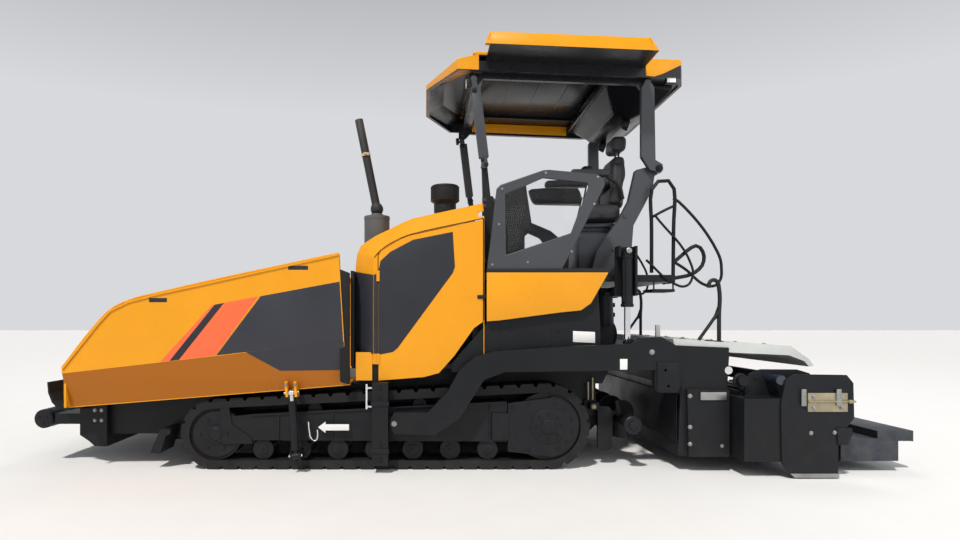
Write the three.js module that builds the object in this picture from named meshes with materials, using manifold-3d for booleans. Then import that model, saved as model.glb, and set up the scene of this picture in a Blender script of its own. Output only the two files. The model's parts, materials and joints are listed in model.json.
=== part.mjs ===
// Tracked asphalt paver, whole machine. Millimetres, +Z up, +X to the rear
// (screed), -Y is the machine's left side, Z = 0 is the ground.
import * as THREE from 'three';
import { ConvexGeometry } from 'three/addons/geometries/ConvexGeometry.js';
import { mergeVertices } from 'three/addons/utils/BufferGeometryUtils.js';
import Module from 'manifold-3d';

const wasm = await Module();
wasm.setup();

// ---------------------------------------------------------------- sizes
const GAP = 0.3; // between pieces that touch

const TRACK = { outerY: 1140, width: 300, driveX: 733, driveR: 367, idlerX: -2089, idlerR: 300, shoe: 26, chain: 52, shoes: 52 };
const CHASSIS = { frontX: -3132, rearX: 1230, bottomZ: 200, sideY: 830, plate: 60 };
const DECK = { topZ: 1670, thick: 60, frontX: 205, rearX: 1240, halfY: 1195, rearPlatformX: 1900, rearPlatformY: 950 };
const HOPPER = { frontX: -3322, rearX: -940, outerY: 1270, lowerY: 1170, hingeY: 700, sheet: 16 };
const HOOD = { halfY: 1180, topHalfY: 1050, rearX: 196, skin: 12, bottomZ: 900.3 };
const ARM = { outerY: 1290, thick: 80, pivotX: -578, pivotZ: 422 };
const ROLLER = { x: -3701, z: 392, r: 84, halfY: 900 };
const AUGER = { x: 1440, z: 390, r: 170, shaftR: 45, innerY: 75, outerY: 1195, flightY: 900, discR: 73, lead: 640 };
const CANOPY = { postY: 900, frontA: [226, 2650], frontC: [128, 3410], rearB: [1766, 2615], rearD: [1668, 3375] };
const ROOF = { frontX: -290, rearX: 2025, halfY: 950, bottomZ: 3490, topZ: 3660, slotZ: 3576, slope: Math.tan(2.4 * Math.PI / 180) };
const SCREED = { frontX: 1820, rearX: 2235, halfY: 1230, bottomZ: 132 };
const EXT = { frontX: 2262, rearX: 2900, innerY: 60, outerY: 1434, gateY: 1450, bottomZ: 132, topZ: 640 };
const FOOT = { x: -1378, y: -1271, z: 145 }; // hopper cylinder's foot pin
const PIN = { x: -1419.8, y: -1236, z: 665 }; // its rod pin, square to the wing hinge
const EXHAUST = { x: -800, z: 2408, tilt: 11.4, length: 945, r: 41 };

// ---------------------------------------------------------------- finishes
const paint = (color, roughness = 0.45, metalness = 0.0) => new THREE.MeshStandardMaterial({ color, roughness, metalness });
const ORANGE = paint(0xf6a82b, 0.4);
const BLACK = paint(0x2b2b2e, 0.5);
const GREY = paint(0x66686b, 0.5);
const DARK = paint(0x3a3b3f, 0.6);
const RUBBER = paint(0x1b1b1d, 0.9);
const LIGHT = paint(0xcdd0cd, 0.35);
const STEEL = paint(0x9a9a98, 0.35, 0.9);
const SEAT = paint(0x26282c, 0.85);
const SLATE = paint(0x4b5460, 0.6);

// ---------------------------------------------------------------- shape helpers
function tidy(geometry) {
  const bare = geometry.index ? geometry.toNonIndexed() : geometry.clone();
  for (const name of Object.keys(bare.attributes)) if (name !== 'position') bare.deleteAttribute(name);
  return mergeVertices(bare, 1e-3);
}
function solid(geometry) {
  const g = tidy(geometry);
  return new wasm.Manifold(new wasm.Mesh({ numProp: 3, vertProperties: new Float32Array(g.attributes.position.array), triVerts: new Uint32Array(g.index.array) }));
}
function fromSolid(m) {
  const mesh = m.getMesh();
  const g = new THREE.BufferGeometry();
  g.setAttribute('position', new THREE.BufferAttribute(new Float32Array(mesh.vertProperties), 3));
  g.setIndex(new THREE.BufferAttribute(new Uint32Array(mesh.triVerts), 1));
  return g;
}
function join(...geometries) {
  let m = solid(geometries[0]);
  for (const g of geometries.slice(1)) m = m.add(solid(g));
  return fromSolid(m);
}
function cut(geometry, ...tools) {
  let m = solid(geometry);
  for (const g of tools) m = m.subtract(solid(g));
  return fromSolid(m);
}
function mirrorY(geometry) {
  const g = tidy(geometry);
  const p = g.attributes.position;
  for (let i = 0; i < p.count; i++) p.setY(i, -p.getY(i));
  const idx = g.index.array;
  for (let i = 0; i < idx.length; i += 3) [idx[i + 1], idx[i + 2]] = [idx[i + 2], idx[i + 1]];
  return g;
}
const box = (x0, x1, y0, y1, z0, z1) => new THREE.BoxGeometry(x1 - x0, y1 - y0, z1 - z0).translate((x0 + x1) / 2, (y0 + y1) / 2, (z0 + z1) / 2);
const shapeOf = (pts, holes = []) => {
  const s = new THREE.Shape(pts.map(([a, b]) => new THREE.Vector2(a, b)));
  for (const h of holes) s.holes.push(new THREE.Path(h.map(([a, b]) => new THREE.Vector2(a, b))));
  return s;
};
// profile in X and Z, pushed along Y from y0 to y1
function prismY(pts, y0, y1, holes = []) {
  const g = new THREE.ExtrudeGeometry(shapeOf(pts, holes), { depth: y1 - y0, bevelEnabled: false });
  return g.rotateX(Math.PI / 2).translate(0, y1, 0);
}
// profile in X and Y, pushed along Z
const prismZ = (pts, z0, z1, holes = []) => new THREE.ExtrudeGeometry(shapeOf(pts, holes), { depth: z1 - z0, bevelEnabled: false }).translate(0, 0, z0);
const cylY = (x, z, r, y0, y1, n = 24) => new THREE.CylinderGeometry(r, r, y1 - y0, n).translate(x, (y0 + y1) / 2, z);
const cylZ = (x, y, r, z0, z1, n = 24, rTop = r) => new THREE.CylinderGeometry(rTop, r, z1 - z0, n).rotateX(Math.PI / 2).translate(x, y, (z0 + z1) / 2);
function rod(a, b, r, n = 12) {
  const va = new THREE.Vector3(...a), vb = new THREE.Vector3(...b);
  const d = vb.clone().sub(va);
  const g = new THREE.CylinderGeometry(r, r, d.length(), n);
  g.applyQuaternion(new THREE.Quaternion().setFromUnitVectors(new THREE.Vector3(0, 1, 0), d.clone().normalize()));
  return g.translate((va.x + vb.x) / 2, (va.y + vb.y) / 2, (va.z + vb.z) / 2);
}
const hull = (pts) => new ConvexGeometry(pts.map((p) => new THREE.Vector3(...p)));
const arc = (cx, cz, r, a0, a1, n) => Array.from({ length: n + 1 }, (_, i) => {
  const a = (a0 + (a1 - a0) * i / n) * Math.PI / 180;
  return [cx + r * Math.cos(a), cz + r * Math.sin(a)];
});
function pipe(points, r, n = 10, steps = points.length * 6) {
  const curve = new THREE.CatmullRomCurve3(points.map((p) => new THREE.Vector3(...p)), false, 'centripetal');
  const s = new THREE.Shape(Array.from({ length: n }, (_, i) => new THREE.Vector2(r * Math.cos(2 * Math.PI * i / n), r * Math.sin(2 * Math.PI * i / n))));
  return new THREE.ExtrudeGeometry(s, { steps, extrudePath: curve });
}

const FLOOR_SLOPE = 0.0804; // of the hopper floor and the wing hinge
// leans a bracket square to the sloping wing hinge, about height z0
const square = (g, z0) => g.applyMatrix4(new THREE.Matrix4().set(1, 0, -FLOOR_SLOPE, FLOOR_SLOPE * z0, 0, 1, 0, 0, 0, 0, 1, 0, 0, 0, 0, 1));

const paver = new THREE.Group();
paver.name = 'asphalt_paver';
function add(name, geometry, material) {
  const g = tidy(geometry).toNonIndexed();
  g.computeVertexNormals();
  const mesh = new THREE.Mesh(g, material);
  mesh.name = name;
  paver.add(mesh);
}
// build for the left side (negative Y), and the same piece mirrored for the right
function pair(name, geometry, material) {
  add(`${name}_left`, geometry, material);
  add(`${name}_right`, mirrorY(geometry), material);
}

// ---------------------------------------------------------------- tracks
const T = TRACK;
const driveZ = T.driveR, idlerZ = T.idlerR;
function beltPath() {
  // outer line of the chain round drive (rear) and idler (front), off = distance outwards
  const r1 = T.driveR - T.shoe, r2 = T.idlerR - T.shoe;
  const dx = T.idlerX - T.driveX, dz = idlerZ - driveZ;
  const dist = Math.hypot(dx, dz), dir = Math.atan2(dz, dx), spread = Math.acos((r1 - r2) / dist);
  const top = dir - spread, bottom = dir + spread; // normals of the two straight runs
  const straight = Math.sqrt(dist * dist - (r1 - r2) ** 2);
  const twoPi = 2 * Math.PI;
  const arc1 = ((top - bottom) % twoPi + twoPi) % twoPi, arc2 = twoPi - arc1;
  const total = 2 * straight + r1 * arc1 + r2 * arc2;
  const at = (s, off) => {
    s = ((s % total) + total) % total;
    if (s < r1 * arc1) { const a = bottom + s / r1; return [T.driveX + (r1 + off) * Math.cos(a), driveZ + (r1 + off) * Math.sin(a)]; }
    s -= r1 * arc1;
    if (s < straight) {
      const p = [T.driveX + (r1 + off) * Math.cos(top), driveZ + (r1 + off) * Math.sin(top)];
      const q = [T.idlerX + (r2 + off) * Math.cos(top), idlerZ + (r2 + off) * Math.sin(top)];
      return [p[0] + (q[0] - p[0]) * s / straight, p[1] + (q[1] - p[1]) * s / straight];
    }
    s -= straight;
    if (s < r2 * arc2) { const a = top + s / r2; return [T.idlerX + (r2 + off) * Math.cos(a), idlerZ + (r2 + off) * Math.sin(a)]; }
    s -= r2 * arc2;
    const p = [T.idlerX + (r2 + off) * Math.cos(bottom), idlerZ + (r2 + off) * Math.sin(bottom)];
    const q = [T.driveX + (r1 + off) * Math.cos(bottom), driveZ + (r1 + off) * Math.sin(bottom)];
    return [p[0] + (q[0] - p[0]) * s / straight, p[1] + (q[1] - p[1]) * s / straight];
  };
  return { at, total, arc1: r1 * arc1, straight, arc2: r2 * arc2 };
}
const belt = beltPath();
const trackOuter = [], trackInner = [];
const pitch = belt.total / T.shoes;
for (let i = 0; i < T.shoes; i++) {
  const s = i * pitch + 0.06 * pitch;
  trackOuter.push(belt.at(s, 0), belt.at(s + 0.09 * pitch, T.shoe), belt.at(s + 0.79 * pitch, T.shoe), belt.at(s + 0.88 * pitch, 0));
}
for (let i = 0; i <= 24; i++) trackInner.push(belt.at(belt.arc1 * i / 24 - (i === 0 ? 0 : 0.01), -T.chain));
for (let i = 0; i <= 24; i++) trackInner.push(belt.at(belt.arc1 + belt.straight + belt.arc2 * i / 24 + 0.01, -T.chain));
pair('track', prismY(trackOuter, -T.outerY, -T.outerY + T.width, [trackInner]), RUBBER);

const beamInY = -T.outerY + T.width - 4, beamOutY = -T.outerY + 14;
const frameParts = [
  prismY([[-2060, 250], [396, 235], [396, 576], [-1794, 465], [-2060, 440]], beamOutY, beamInY),
  cylY(T.driveX, driveZ, T.driveR - T.shoe - T.chain - 1.4, -1112, -868, 48),
  cylY(T.idlerX, idlerZ, T.idlerR - T.shoe - T.chain - 1.4, -1112, -868, 40),
  cylY(T.idlerX, idlerZ, 84, -1128, -1000, 24),
  box(200, 760, -1100, -850, 250, 500),
];
for (let i = 0; i < 7; i++) frameParts.push(cylY(-1690 + 320 * i, 166.6, 87.4, -1104, -876, 24));
for (let i = 0; i < 2; i++) frameParts.push(cylY(-1250 + 900 * i, belt.at(belt.arc1 + belt.straight * (0.7 - 0.32 * i), -T.chain - 62)[1] - 1, 60, -1070, -910, 20), box(-1275 + 900 * i, -1225 + 900 * i, -1060, -920, 400, 560));
// ear that carries the foot of the hopper cylinder, and the bearer that ties the beam to the chassis
frameParts.push(square(box(FOOT.x - 43, FOOT.x - 29, -1300, -1090, 108, 178), FOOT.z), square(box(FOOT.x + 29, FOOT.x + 43, -1300, -1090, 108, 178), FOOT.z));
frameParts.push(box(-1500, -1300, beamInY - 5, -CHASSIS.sideY - GAP, 262, 420), box(-300, -100, beamInY - 5, -CHASSIS.sideY - GAP, 262, 420));
frameParts.push(prismY([[402, 154], [775, 108], ...arc(745, 368, 258, -78, 84, 16), [762, 610], [402, 564]], -1140, -1100));
pair('track_frame', join(...frameParts), BLACK);

// ---------------------------------------------------------------- chassis
const C = CHASSIS;
const wingFloorZ = (x) => 531 + FLOOR_SLOPE * (x + 3319); // underside of the hopper floor
const sidePlate = prismY([[C.frontX, 250], [-2680, 250], [-2600, C.bottomZ], [1100, C.bottomZ], [C.rearX, 330], [C.rearX, 859.7], [-905, 859.7], [-905, 700], [C.frontX, 522]], -C.sideY, -C.sideY + C.plate);
const deckSide = C.sideY - C.plate - GAP;
add('conveyor_deck', join(
  prismY([[C.frontX, 400], [-1000, 530], [C.rearX, 530], [C.rearX, 600], [-1000, 600], [C.frontX, 470]], -deckSide, deckSide),
  prismY([[C.frontX, 460], [-1000, 590], [-925, 600], [-925, 745], [C.frontX, 568]], -682.6, -650),
  prismY([[C.frontX, 460], [-1000, 590], [-925, 600], [-925, 745], [C.frontX, 568]], 650, 682.6),
  prismY([[C.frontX, 460], [-1000, 590], [C.rearX, 590], [C.rearX, 640], [-1000, 640], [C.frontX, 520]], -40, 40),
), DARK);
const scraper = join(
  prismY([[-2654, 133], [-2568, 337], [-2500, 337], [-2570, 133]], -1120, -C.sideY + 2),
  prismY([[-2590, 250], [-2480, 300], [-2480, 337], [-2568, 337]], -1120, -1100),
);
const rearBracket = join(
  prismY([[C.rearX + GAP, 700], [C.rearX + GAP, 1560], [1380, 1560], [1400, 1150], [1370, 860], [1290, 700]], -C.sideY, -C.sideY + 50),
  box(1340, 1505, -1032, -C.sideY + 50, 1480, 1560), box(1345, 1505, -1034, -1014, 1480, 1905), box(1345, 1362, -1140, -1016, 1812, 1905), box(1486, 1505, -1140, -1016, 1480, 1905), cylY(1430, 1865, 24, -1046.7, -1030, 18),
);
const hanger = join(box(1120, 1226, -C.sideY - 40, -C.sideY + 2, 420, 560), box(1150, 1226, -960, -C.sideY - 2, 480, 540));
const half = join(sidePlate, scraper, hanger);
pair('lift_bracket', rearBracket, BLACK);
add('chassis', join(half, mirrorY(half), box(-2590, 1100, -deckSide - 5, deckSide + 5, C.bottomZ + 10, C.bottomZ + 60), box(1120, 1228, -deckSide - 5, deckSide + 5, 360, 529.7),
  cylY(AUGER.x, AUGER.z, 105, -60, 60, 28), box(1220, 1420, -50, 50, 370, 520)), BLACK);
const crossbeam = (prismY([[-3372, 508], [-3372, 250], [-3290, 195], [-3240, 150], [-3132.3, 148], [-3132.3, 508]], -900, 900));
add('front_apron', prismY([[-3220, 508.3], [-3405, 508.3], [-3470, 520], [-3518, 570], [-3550, 640], [-3560, 735], [-3574, 735], [-3566, 640], [-3534, 560], [-3482, 503], [-3405, 494], [-3380, 494], [-3372.3, 494], [-3372.3, 508.25]].reverse(), -1050, 1050).translate(0, 0, 0.3), RUBBER);

// push rollers on their beam
const R = ROLLER;
const bracket = (y0, y1) => prismY([[-3600, 345], [-3600, 439], ...arc(R.x, R.z, 44, 90, 270, 12)].reverse(), y0, y1, [arc(R.x, R.z, 33, 0, 345, 23)]);
add('front_beam', join(crossbeam, box(-3605, -3371, -880, 880, 345, 439), bracket(-474, -446), bracket(446, 474)), BLACK);
const rollerProfile = (y0, y1) => cylY(R.x, R.z, R.r, y0, y1, 40);
pair('push_roller', join(rollerProfile(-R.halfY, -482), rollerProfile(-438, -30), cylY(R.x, R.z, 32.2, -500, -420, 24)), STEEL);

// ---------------------------------------------------------------- hopper
const H = HOPPER;
const foldZ = (x) => 833 + 0.1134 * (x - H.frontX);
const sheetBetween = (y0, z0, y1, z1, dy, dz, x0, x1, x1b = x1) => hull([
  [x0, y0, z0(x0)], [x0, y1, z1(x0)], [x0, y0 + dy, z0(x0) + dz], [x0, y1 + dy, z1(x0) + dz],
  [x1, y0, z0(x1)], [x1b, y1, z1(x1b)], [x1, y0 + dy, z0(x1) + dz], [x1b, y1 + dy, z1(x1b) + dz],
]);
const topEdge = [[-3322, 876], [-3026, 1248], [-2914, 1358], [-2766, 1431], [-2513, 1498], [-1021, 1826]];
const wing = join(
  sheetBetween(-H.lowerY - 2, wingFloorZ, -H.hingeY, wingFloorZ, 0, H.sheet, -3319, H.rearX),
  sheetBetween(-H.lowerY, wingFloorZ, -H.outerY, foldZ, H.sheet, 0, -3319, H.rearX, -977),
  prismY([[-3322, 828], ...topEdge, [-977, 1094]].reverse(), -H.outerY, -H.outerY + H.sheet),
  prismY([...topEdge, ...topEdge.slice().reverse().map(([x, z]) => [x + (x < -3000 ? 12 : 2), z - 16])].reverse(), -H.outerY - 10, -H.outerY + 52),
  prismY([[-1037, 1810], [-1021, 1826], [-977, 1099], [-993, 1095]], -H.outerY + 2, -H.outerY + 60),
  prismY([[-3322, 838], [-3319, 540], [-3300, 540], [-3303, 838]].reverse(), -H.outerY + 30, -H.lowerY + 30),
  rod([-3310, -H.hingeY, wingFloorZ(-3310) + 8], [-945, -H.hingeY, wingFloorZ(-945) + 8], 17, 16),
  square(box(PIN.x - 48, PIN.x - 28, -1258, -1150, 632, 760), PIN.z), square(box(PIN.x + 28, PIN.x + 48, -1258, -1150, 632, 760), PIN.z),
);
pair('hopper_wing', wing, ORANGE);
add('hopper_rear_wall', box(-930, -905.3, -1130, 1130, 860.3, 1690), RUBBER);

const cylFoot = [FOOT.x, FOOT.y, FOOT.z], cylPin = [PIN.x, PIN.y, PIN.z];
const lerp = (a, b, d) => { const v = new THREE.Vector3(...b).sub(new THREE.Vector3(...a)).normalize().multiplyScalar(d); return [a[0] + v.x, a[1] + v.y, a[2] + v.z]; };
// barrel bored for its rod, which stays 15 mm inside at full stroke
pair('hopper_cylinder', cut(join(cylX(cylFoot, 28.6, 28), rod(cylFoot, lerp(cylFoot, cylPin, 60), 20, 16), rod(lerp(cylFoot, cylPin, 48), lerp(cylFoot, cylPin, 455), 33, 16)), rod(lerp(cylFoot, cylPin, 80), lerp(cylFoot, cylPin, 470), 18.8, 16)), BLACK);
pair('hopper_rod', join(cylX(cylPin, 20, 24), rod(lerp(cylFoot, cylPin, 92), lerp(cylFoot, cylPin, 515), 18, 16)), STEEL);
function cylX(p, half, r) { return new THREE.CylinderGeometry(r, r, 2 * half, 20).rotateZ(Math.PI / 2).rotateY(-Math.atan(FLOOR_SLOPE)).translate(...p); }

// ---------------------------------------------------------------- engine bay
const sideLine = [[-735, 1800], [-677, 1864], [-508, 1966], [-432, 1995], [HOOD.rearX, 2134]];
const crownLine = [[-904.7, 1735], [-892, 1842], [-857, 1918], [-740, 1995], [-493, 2118], [-417, 2151], [HOOD.rearX, 2283]];
const hoodHull = (grow, bottom) => hull([
  ...[-1, 1].flatMap((s) => [[-735, bottom], ...sideLine.map((p) => p), [HOOD.rearX, bottom]].map(([x, z]) => [x, s * (HOOD.halfY + grow), z])),
  ...[-1, 1].flatMap((s) => [[-904.7 - grow, bottom], ...crownLine, [HOOD.rearX, bottom]].map(([x, z]) => [x, s * HOOD.topHalfY, z === bottom ? z : z + grow])),
]);
const doorOutline = [[-697, 762], [-313, 792], [-187, 826], [-60, 969], [109, 1206], [184, 1258], [184, 2121], [-432, 1985], [-508, 1956], [-672, 1857], [-697, 1822]];
const hoodShell = cut(hoodHull(0, HOOD.bottomZ), hoodHull(-HOOD.skin, HOOD.bottomZ - 5), prismY(doorOutline.map(([x, z]) => [x + (x < -690 ? -8 : 6), z + (z > 1500 ? 8 : -400)]), -1300, -1100), prismY(doorOutline.map(([x, z]) => [x + (x < -690 ? -8 : 6), z + (z > 1500 ? 8 : -400)]), 1100, 1300), box(150, 400, -1161, 1161, 800, 2200));
const hoodFoot = (side) => box(-890, -752, side > 0 ? 1151 : -1170, side > 0 ? 1170 : -1151, 762, 1000);
add('hood_cover', join(hoodShell, hoodFoot(-1), hoodFoot(1)), ORANGE);
const doorHinge = (z0, z1) => [cylZ(-706, -1189.2, 8.6, z0, z1, 12), box(-704, -688, -1193, -1184, z0, z1)];
pair('engine_door', join(prismY(doorOutline, -1186, -1170), ...doorHinge(900, 990), ...doorHinge(1600, 1690)), ORANGE);
add('engine_block', box(-760, 150, -520, 520, 900.3, 1780), DARK);
add('exhaust_base', cut(join(cylZ(-800, 0, 125, 1850, 2332, 28), cylZ(-800, 0, 50, 2300, 2369, 20)), hoodHull(0.3, 800), new THREE.SphereGeometry(44.8, 24, 16).translate(EXHAUST.x, 0, EXHAUST.z)), DARK);
const pipeTop = [EXHAUST.x - Math.sin(EXHAUST.tilt * Math.PI / 180) * EXHAUST.length, 0, EXHAUST.z + Math.cos(EXHAUST.tilt * Math.PI / 180) * EXHAUST.length];
const pipeFoot = [EXHAUST.x, 0, EXHAUST.z];
add('exhaust_pipe', cut(join(new THREE.SphereGeometry(44, 24, 16).translate(...pipeFoot), rod(pipeFoot, pipeTop, EXHAUST.r, 18)), rod(lerp(pipeTop, pipeFoot, -5), lerp(pipeTop, pipeFoot, 820), 35, 20)), STEEL);
add('air_precleaner', cut(join(cylZ(-105, -200, 105, 2150, 2432, 28), cylZ(-105, -200, 108, 2430, 2456, 32, 140), cylZ(-105, -200, 140, 2455, 2596, 32), cylZ(-105, -200, 140, 2595, 2610, 32, 128)), hoodHull(0.3, 800)), DARK);

// ---------------------------------------------------------------- platform
const D = DECK;
const sidePanel = prismY([[217, 1265], [326, 1273], [831, 1340], [999, 1357], [1083, 1416], [1226, 1664], [1226, 1669], [217, 1669]], -1215, -D.halfY + 3);
add('bay_floor', join(
  box(-905, C.rearX - 2.3, -1150, 1150, 860, 900), box(1100, 1160, -1140, 1140, 890, 1609.7), box(225, 260, -1140, 1140, 890, 1609.7),
), BLACK);
pair('side_skirt', prismY([[-76, 832], [1180, 832], [1180, 1250], [1165, 1500], [1165, 1609.7], [217, 1609.7], [217, 1240], [-76, 910]], -1164, -1150.3), BLACK);
pair('screen_frame', join(
  prismY([[214, D.topZ + GAP], [299, 2380], [330, 2412], [690, 2536], [740, 2540], [1142, 2504], [1196, 2470], [1212, 2410], [836, D.topZ + GAP]], -D.halfY, -D.halfY + 34, [[[378, 1821], [926, 2007], [1075, 2400], [1060, 2430], [690, 2470], [371, 2330]]]),
), GREY);
const pillar = join(prismY([[212, D.topZ + GAP], [330, D.topZ + GAP], [330, 2330], [300, 2380], [212, 2380]], -868, -800), prismY([[215, 2300], [290, 2300], [252, 2650], [203, 2650]], -868, -820), cylY(...CANOPY.frontA, 30, -868, -820));
pair('rear_leg', join(prismY([[1176, D.topZ + GAP], [1330, D.topZ + GAP], [1400, 1760], [1544, 1903], [1560, 2117], [1731, 2437], [1748, 2560], [1800, 2590], [1800, 2640], [1760, 2660], [1579, 2614], [1517, 2339], [1428, 2170], [1233, 1899]], -868, -800)), GREY);
// dash with its pods, seats on their boxes
add('dash', join(pillar, mirrorY(pillar), box(300, 430, -868, -800, 1700, 1900), box(300, 430, 800, 868, 1700, 1900), box(420, 560, -1050, 1050, D.topZ + GAP, 2080), hull([[400, -900, 2080], [640, -900, 2080], [400, -900, 2440], [600, -900, 2490], [400, -560, 2080], [640, -560, 2080], [400, -560, 2440], [600, -560, 2490]]), box(420, 600, -860, -600, 2060, 2200)), BLACK);
pair('seat', join(
  prismY([[1090, 2160], [1120, 2130], [1480, 2130], [1500, 2190], [1490, 2300], [1290, 2312], [1090, 2290]], -790, -330),
  prismY([[1372, 2190], [1500, 2190], [1565, 2500], [1560, 2815], [1405, 2815], [1380, 2500]], -770, -350),
  prismY([[1420, 2810], [1530, 2810], [1580, 2900], [1565, 2990], [1440, 2990], [1405, 2900]], -700, -430),
  box(1090, 1440, -760, -360, D.topZ + GAP, 2140),
), SEAT);

// rear rails and ladder
const rearRail = join(
  pipe([[1700, -925, 1690], [1700, -925, 2100], [1700, -925, 2420], [1760, -925, 2500], [1860, -925, 2500], [1900, -925, 2430], [1895, -925, 2100], [1890, -925, 1600]], 17, 8, 20),
  pipe([[1890, -925, 1780], [2100, -925, 1930], [2160, -925, 1860], [2150, -925, 1760], [2060, -925, 1680], [1885, -925, 1640]], 17, 8, 18),
);
add('deck', join(box(D.frontX, D.rearX, -D.halfY, D.halfY, D.topZ - D.thick, D.topZ), box(D.rearX - 5, D.rearPlatformX, -D.rearPlatformY, D.rearPlatformY, D.topZ - D.thick, D.topZ),
  sidePanel, mirrorY(sidePanel), rearRail, mirrorY(rearRail)), DARK);

// ---------------------------------------------------------------- canopy
const [ax, az] = CANOPY.frontA, [cx, cz] = CANOPY.frontC, [bx, bz] = CANOPY.rearB, [dx, dz] = CANOPY.rearD;
const bar = (x0, z0, x1, z1, w0, w1, y0, y1) => prismY([[x0 - w0, z0], [x0 + w0, z0], [x1 + w1, z1], [x1 - w1, z1]], y0, y1);
pair('front_post', join(bar(ax, az, cx, cz - 24, 28, 26, -925, -875), cylY(ax, az, 32, -925, -875), cylY(cx, cz, 28, -925, -875), cylY(cx, cz, 12, -880, -826, 12), cylY(ax, az, 10, -880, -868.4, 12)), GREY);
pair('rear_post', join(prismY([[1690, 2600], [1790, 2580], [1800, 2650], [1736, 2690], [1725, 3330], [1700, 3370], [1640, 3370], [1612, 3330], [1612, 2720]], -925, -875), cylY(bx, bz, 38, -925, -875), cylY(dx, dz, 29, -925, -875), cylY(dx, dz, 12, -880, -826, 12), cylY(bx, bz, 12, -880, -868.4, 12)), GREY);

const Q = ROOF;
const shear = (g) => g.applyMatrix4(new THREE.Matrix4().set(1, 0, 0, 0, 0, 1, 0, 0, -Q.slope, 0, 1, Q.slope * Q.frontX, 0, 0, 0, 1));
const plan = (inset) => {
  const half = [[Q.frontX + inset, 400 - inset / 2], [-15 + inset, Q.halfY - inset], [1950 - inset, Q.halfY - inset], [Q.rearX - inset, 780 - inset / 2]];
  return [...half.map(([x, y]) => [x, -y]), ...half.slice().reverse()];
};
// side walls with the slots that the roof wings slide in
const wallRing = cut(prismZ(plan(0), Q.bottomZ, Q.topZ - 30), prismZ(plan(26), Q.bottomZ - 9, Q.topZ), box(150, 1700, -2000, 2000, Q.slotZ, Q.topZ - 20), box(-400, 120, -2000, 2000, Q.bottomZ - 9, Q.topZ));
const inBoth = (a, b) => fromSolid(solid(a).intersect(solid(b)));
const rearTop = plan(0).filter(([x]) => x > 500), rearIn = plan(70).filter(([x]) => x > 500);
const roofTop = hull([...rearTop.map(([x, y]) => [x, y, Q.topZ - 40]), ...rearIn.map(([x, y]) => [x, y, Q.topZ]), ...[-1, 1].flatMap((s) => [[118, s * Q.halfY, Q.topZ - 40], [165, s * (Q.halfY - 70), Q.topZ], [165, s * Q.halfY, Q.topZ - 30]])]);
// front visor, an open shell that curves down to the tip
const visorOf = (w, low) => hull([-1, 1].flatMap((s) => [
  [Q.frontX + w * 1.4, s * (400 - w * 0.6), low], [Q.frontX + w * 1.4, s * (400 - w * 0.6), 3536 - w], [-15 + w * 0.6, s * (Q.halfY - w), low], [-15 + w * 0.6, s * (Q.halfY - w), 3582 - w],
  [165 - w, s * (Q.halfY - w), low], [165 - w, s * (Q.halfY - w), Q.topZ - 30 - w], [165 - w, s * (Q.halfY - 70 - w * 0.4), Q.topZ - w], [-110, s * 300, 3618 - w]]));
const visor = cut(visorOf(0, Q.bottomZ + 2), visorOf(24, Q.bottomZ - 10));
const ceiling = cut(inBoth(prismZ(plan(20), Q.bottomZ + 14, Q.bottomZ + 30), box(130, 3000, -2000, 2000, 0, 9000)), box(236, 1336, -815, 815, Q.bottomZ, Q.bottomZ + 60));
const bowl = hull([-1, 1].flatMap((s) => [[1350, s * 760, 3516], [1940, s * 790, 3516], [1935, s * 780, 3456], [1841, s * 600, 3347], [1663, s * 450, 3278], [1500, s * 450, 3318]]));
const roofShell = shear(join(wallRing, roofTop, visor, ceiling, bowl));
const beamZ = (x) => Q.bottomZ + 20 - Q.slope * (x - Q.frontX);
const roofBeam = join(prismY([[cx - 40, 3376], [cx + 40, 3376], [cx + 90, 3430], [dx - 90, 3376], [dx - 50, 3341], [dx + 45, 3341], [dx + 45, beamZ(dx + 45)], [cx - 40, beamZ(cx - 40)]], -868, -830));
add('canopy_roof', cut(join(roofShell, roofBeam, mirrorY(roofBeam)), cylY(cx, cz, 12.8, -900, -800, 24), cylY(cx, cz, 12.8, 800, 900, 24), cylY(dx, dz, 12.8, -900, -800, 24), cylY(dx, dz, 12.8, 800, 900, 24)), ORANGE);
const wingLow = Q.slotZ + 0.4, wingTop = Q.topZ + 25;
const roofWing = join(box(232, 1630, -1292, -600, wingLow, wingLow + 14), hull([-1300, -1284].flatMap((y) => [[193, y, wingLow], [1630, y, wingLow], [1560, y + 20, wingTop], [232, y + 20, wingTop]])));
pair('roof_wing', shear(roofWing), ORANGE);

// ---------------------------------------------------------------- augers
function auger() {
  const steps = 32, len = AUGER.flightY - AUGER.innerY;
  const g = new THREE.ExtrudeGeometry(shapeOf([[-AUGER.r, -12], [AUGER.r, -12], [AUGER.r, 12], [-AUGER.r, 12]]), { depth: len, steps, bevelEnabled: false });
  const p = g.attributes.position;
  for (let i = 0; i < p.count; i++) {
    const a = 2 * Math.PI * p.getZ(i) / AUGER.lead, x = p.getX(i), y = p.getY(i);
    p.setX(i, x * Math.cos(a) - y * Math.sin(a));
    p.setY(i, x * Math.sin(a) + y * Math.cos(a));
  }
  g.rotateX(Math.PI / 2).translate(AUGER.x, -AUGER.innerY, AUGER.z);
  return join(g, cylY(AUGER.x, AUGER.z, AUGER.shaftR, -AUGER.outerY - 10, -60 - GAP, 12), cylY(AUGER.x, AUGER.z, AUGER.discR, -AUGER.outerY - 14, -AUGER.outerY + 12, 20));
}
pair('auger', auger(), STEEL);
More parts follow.
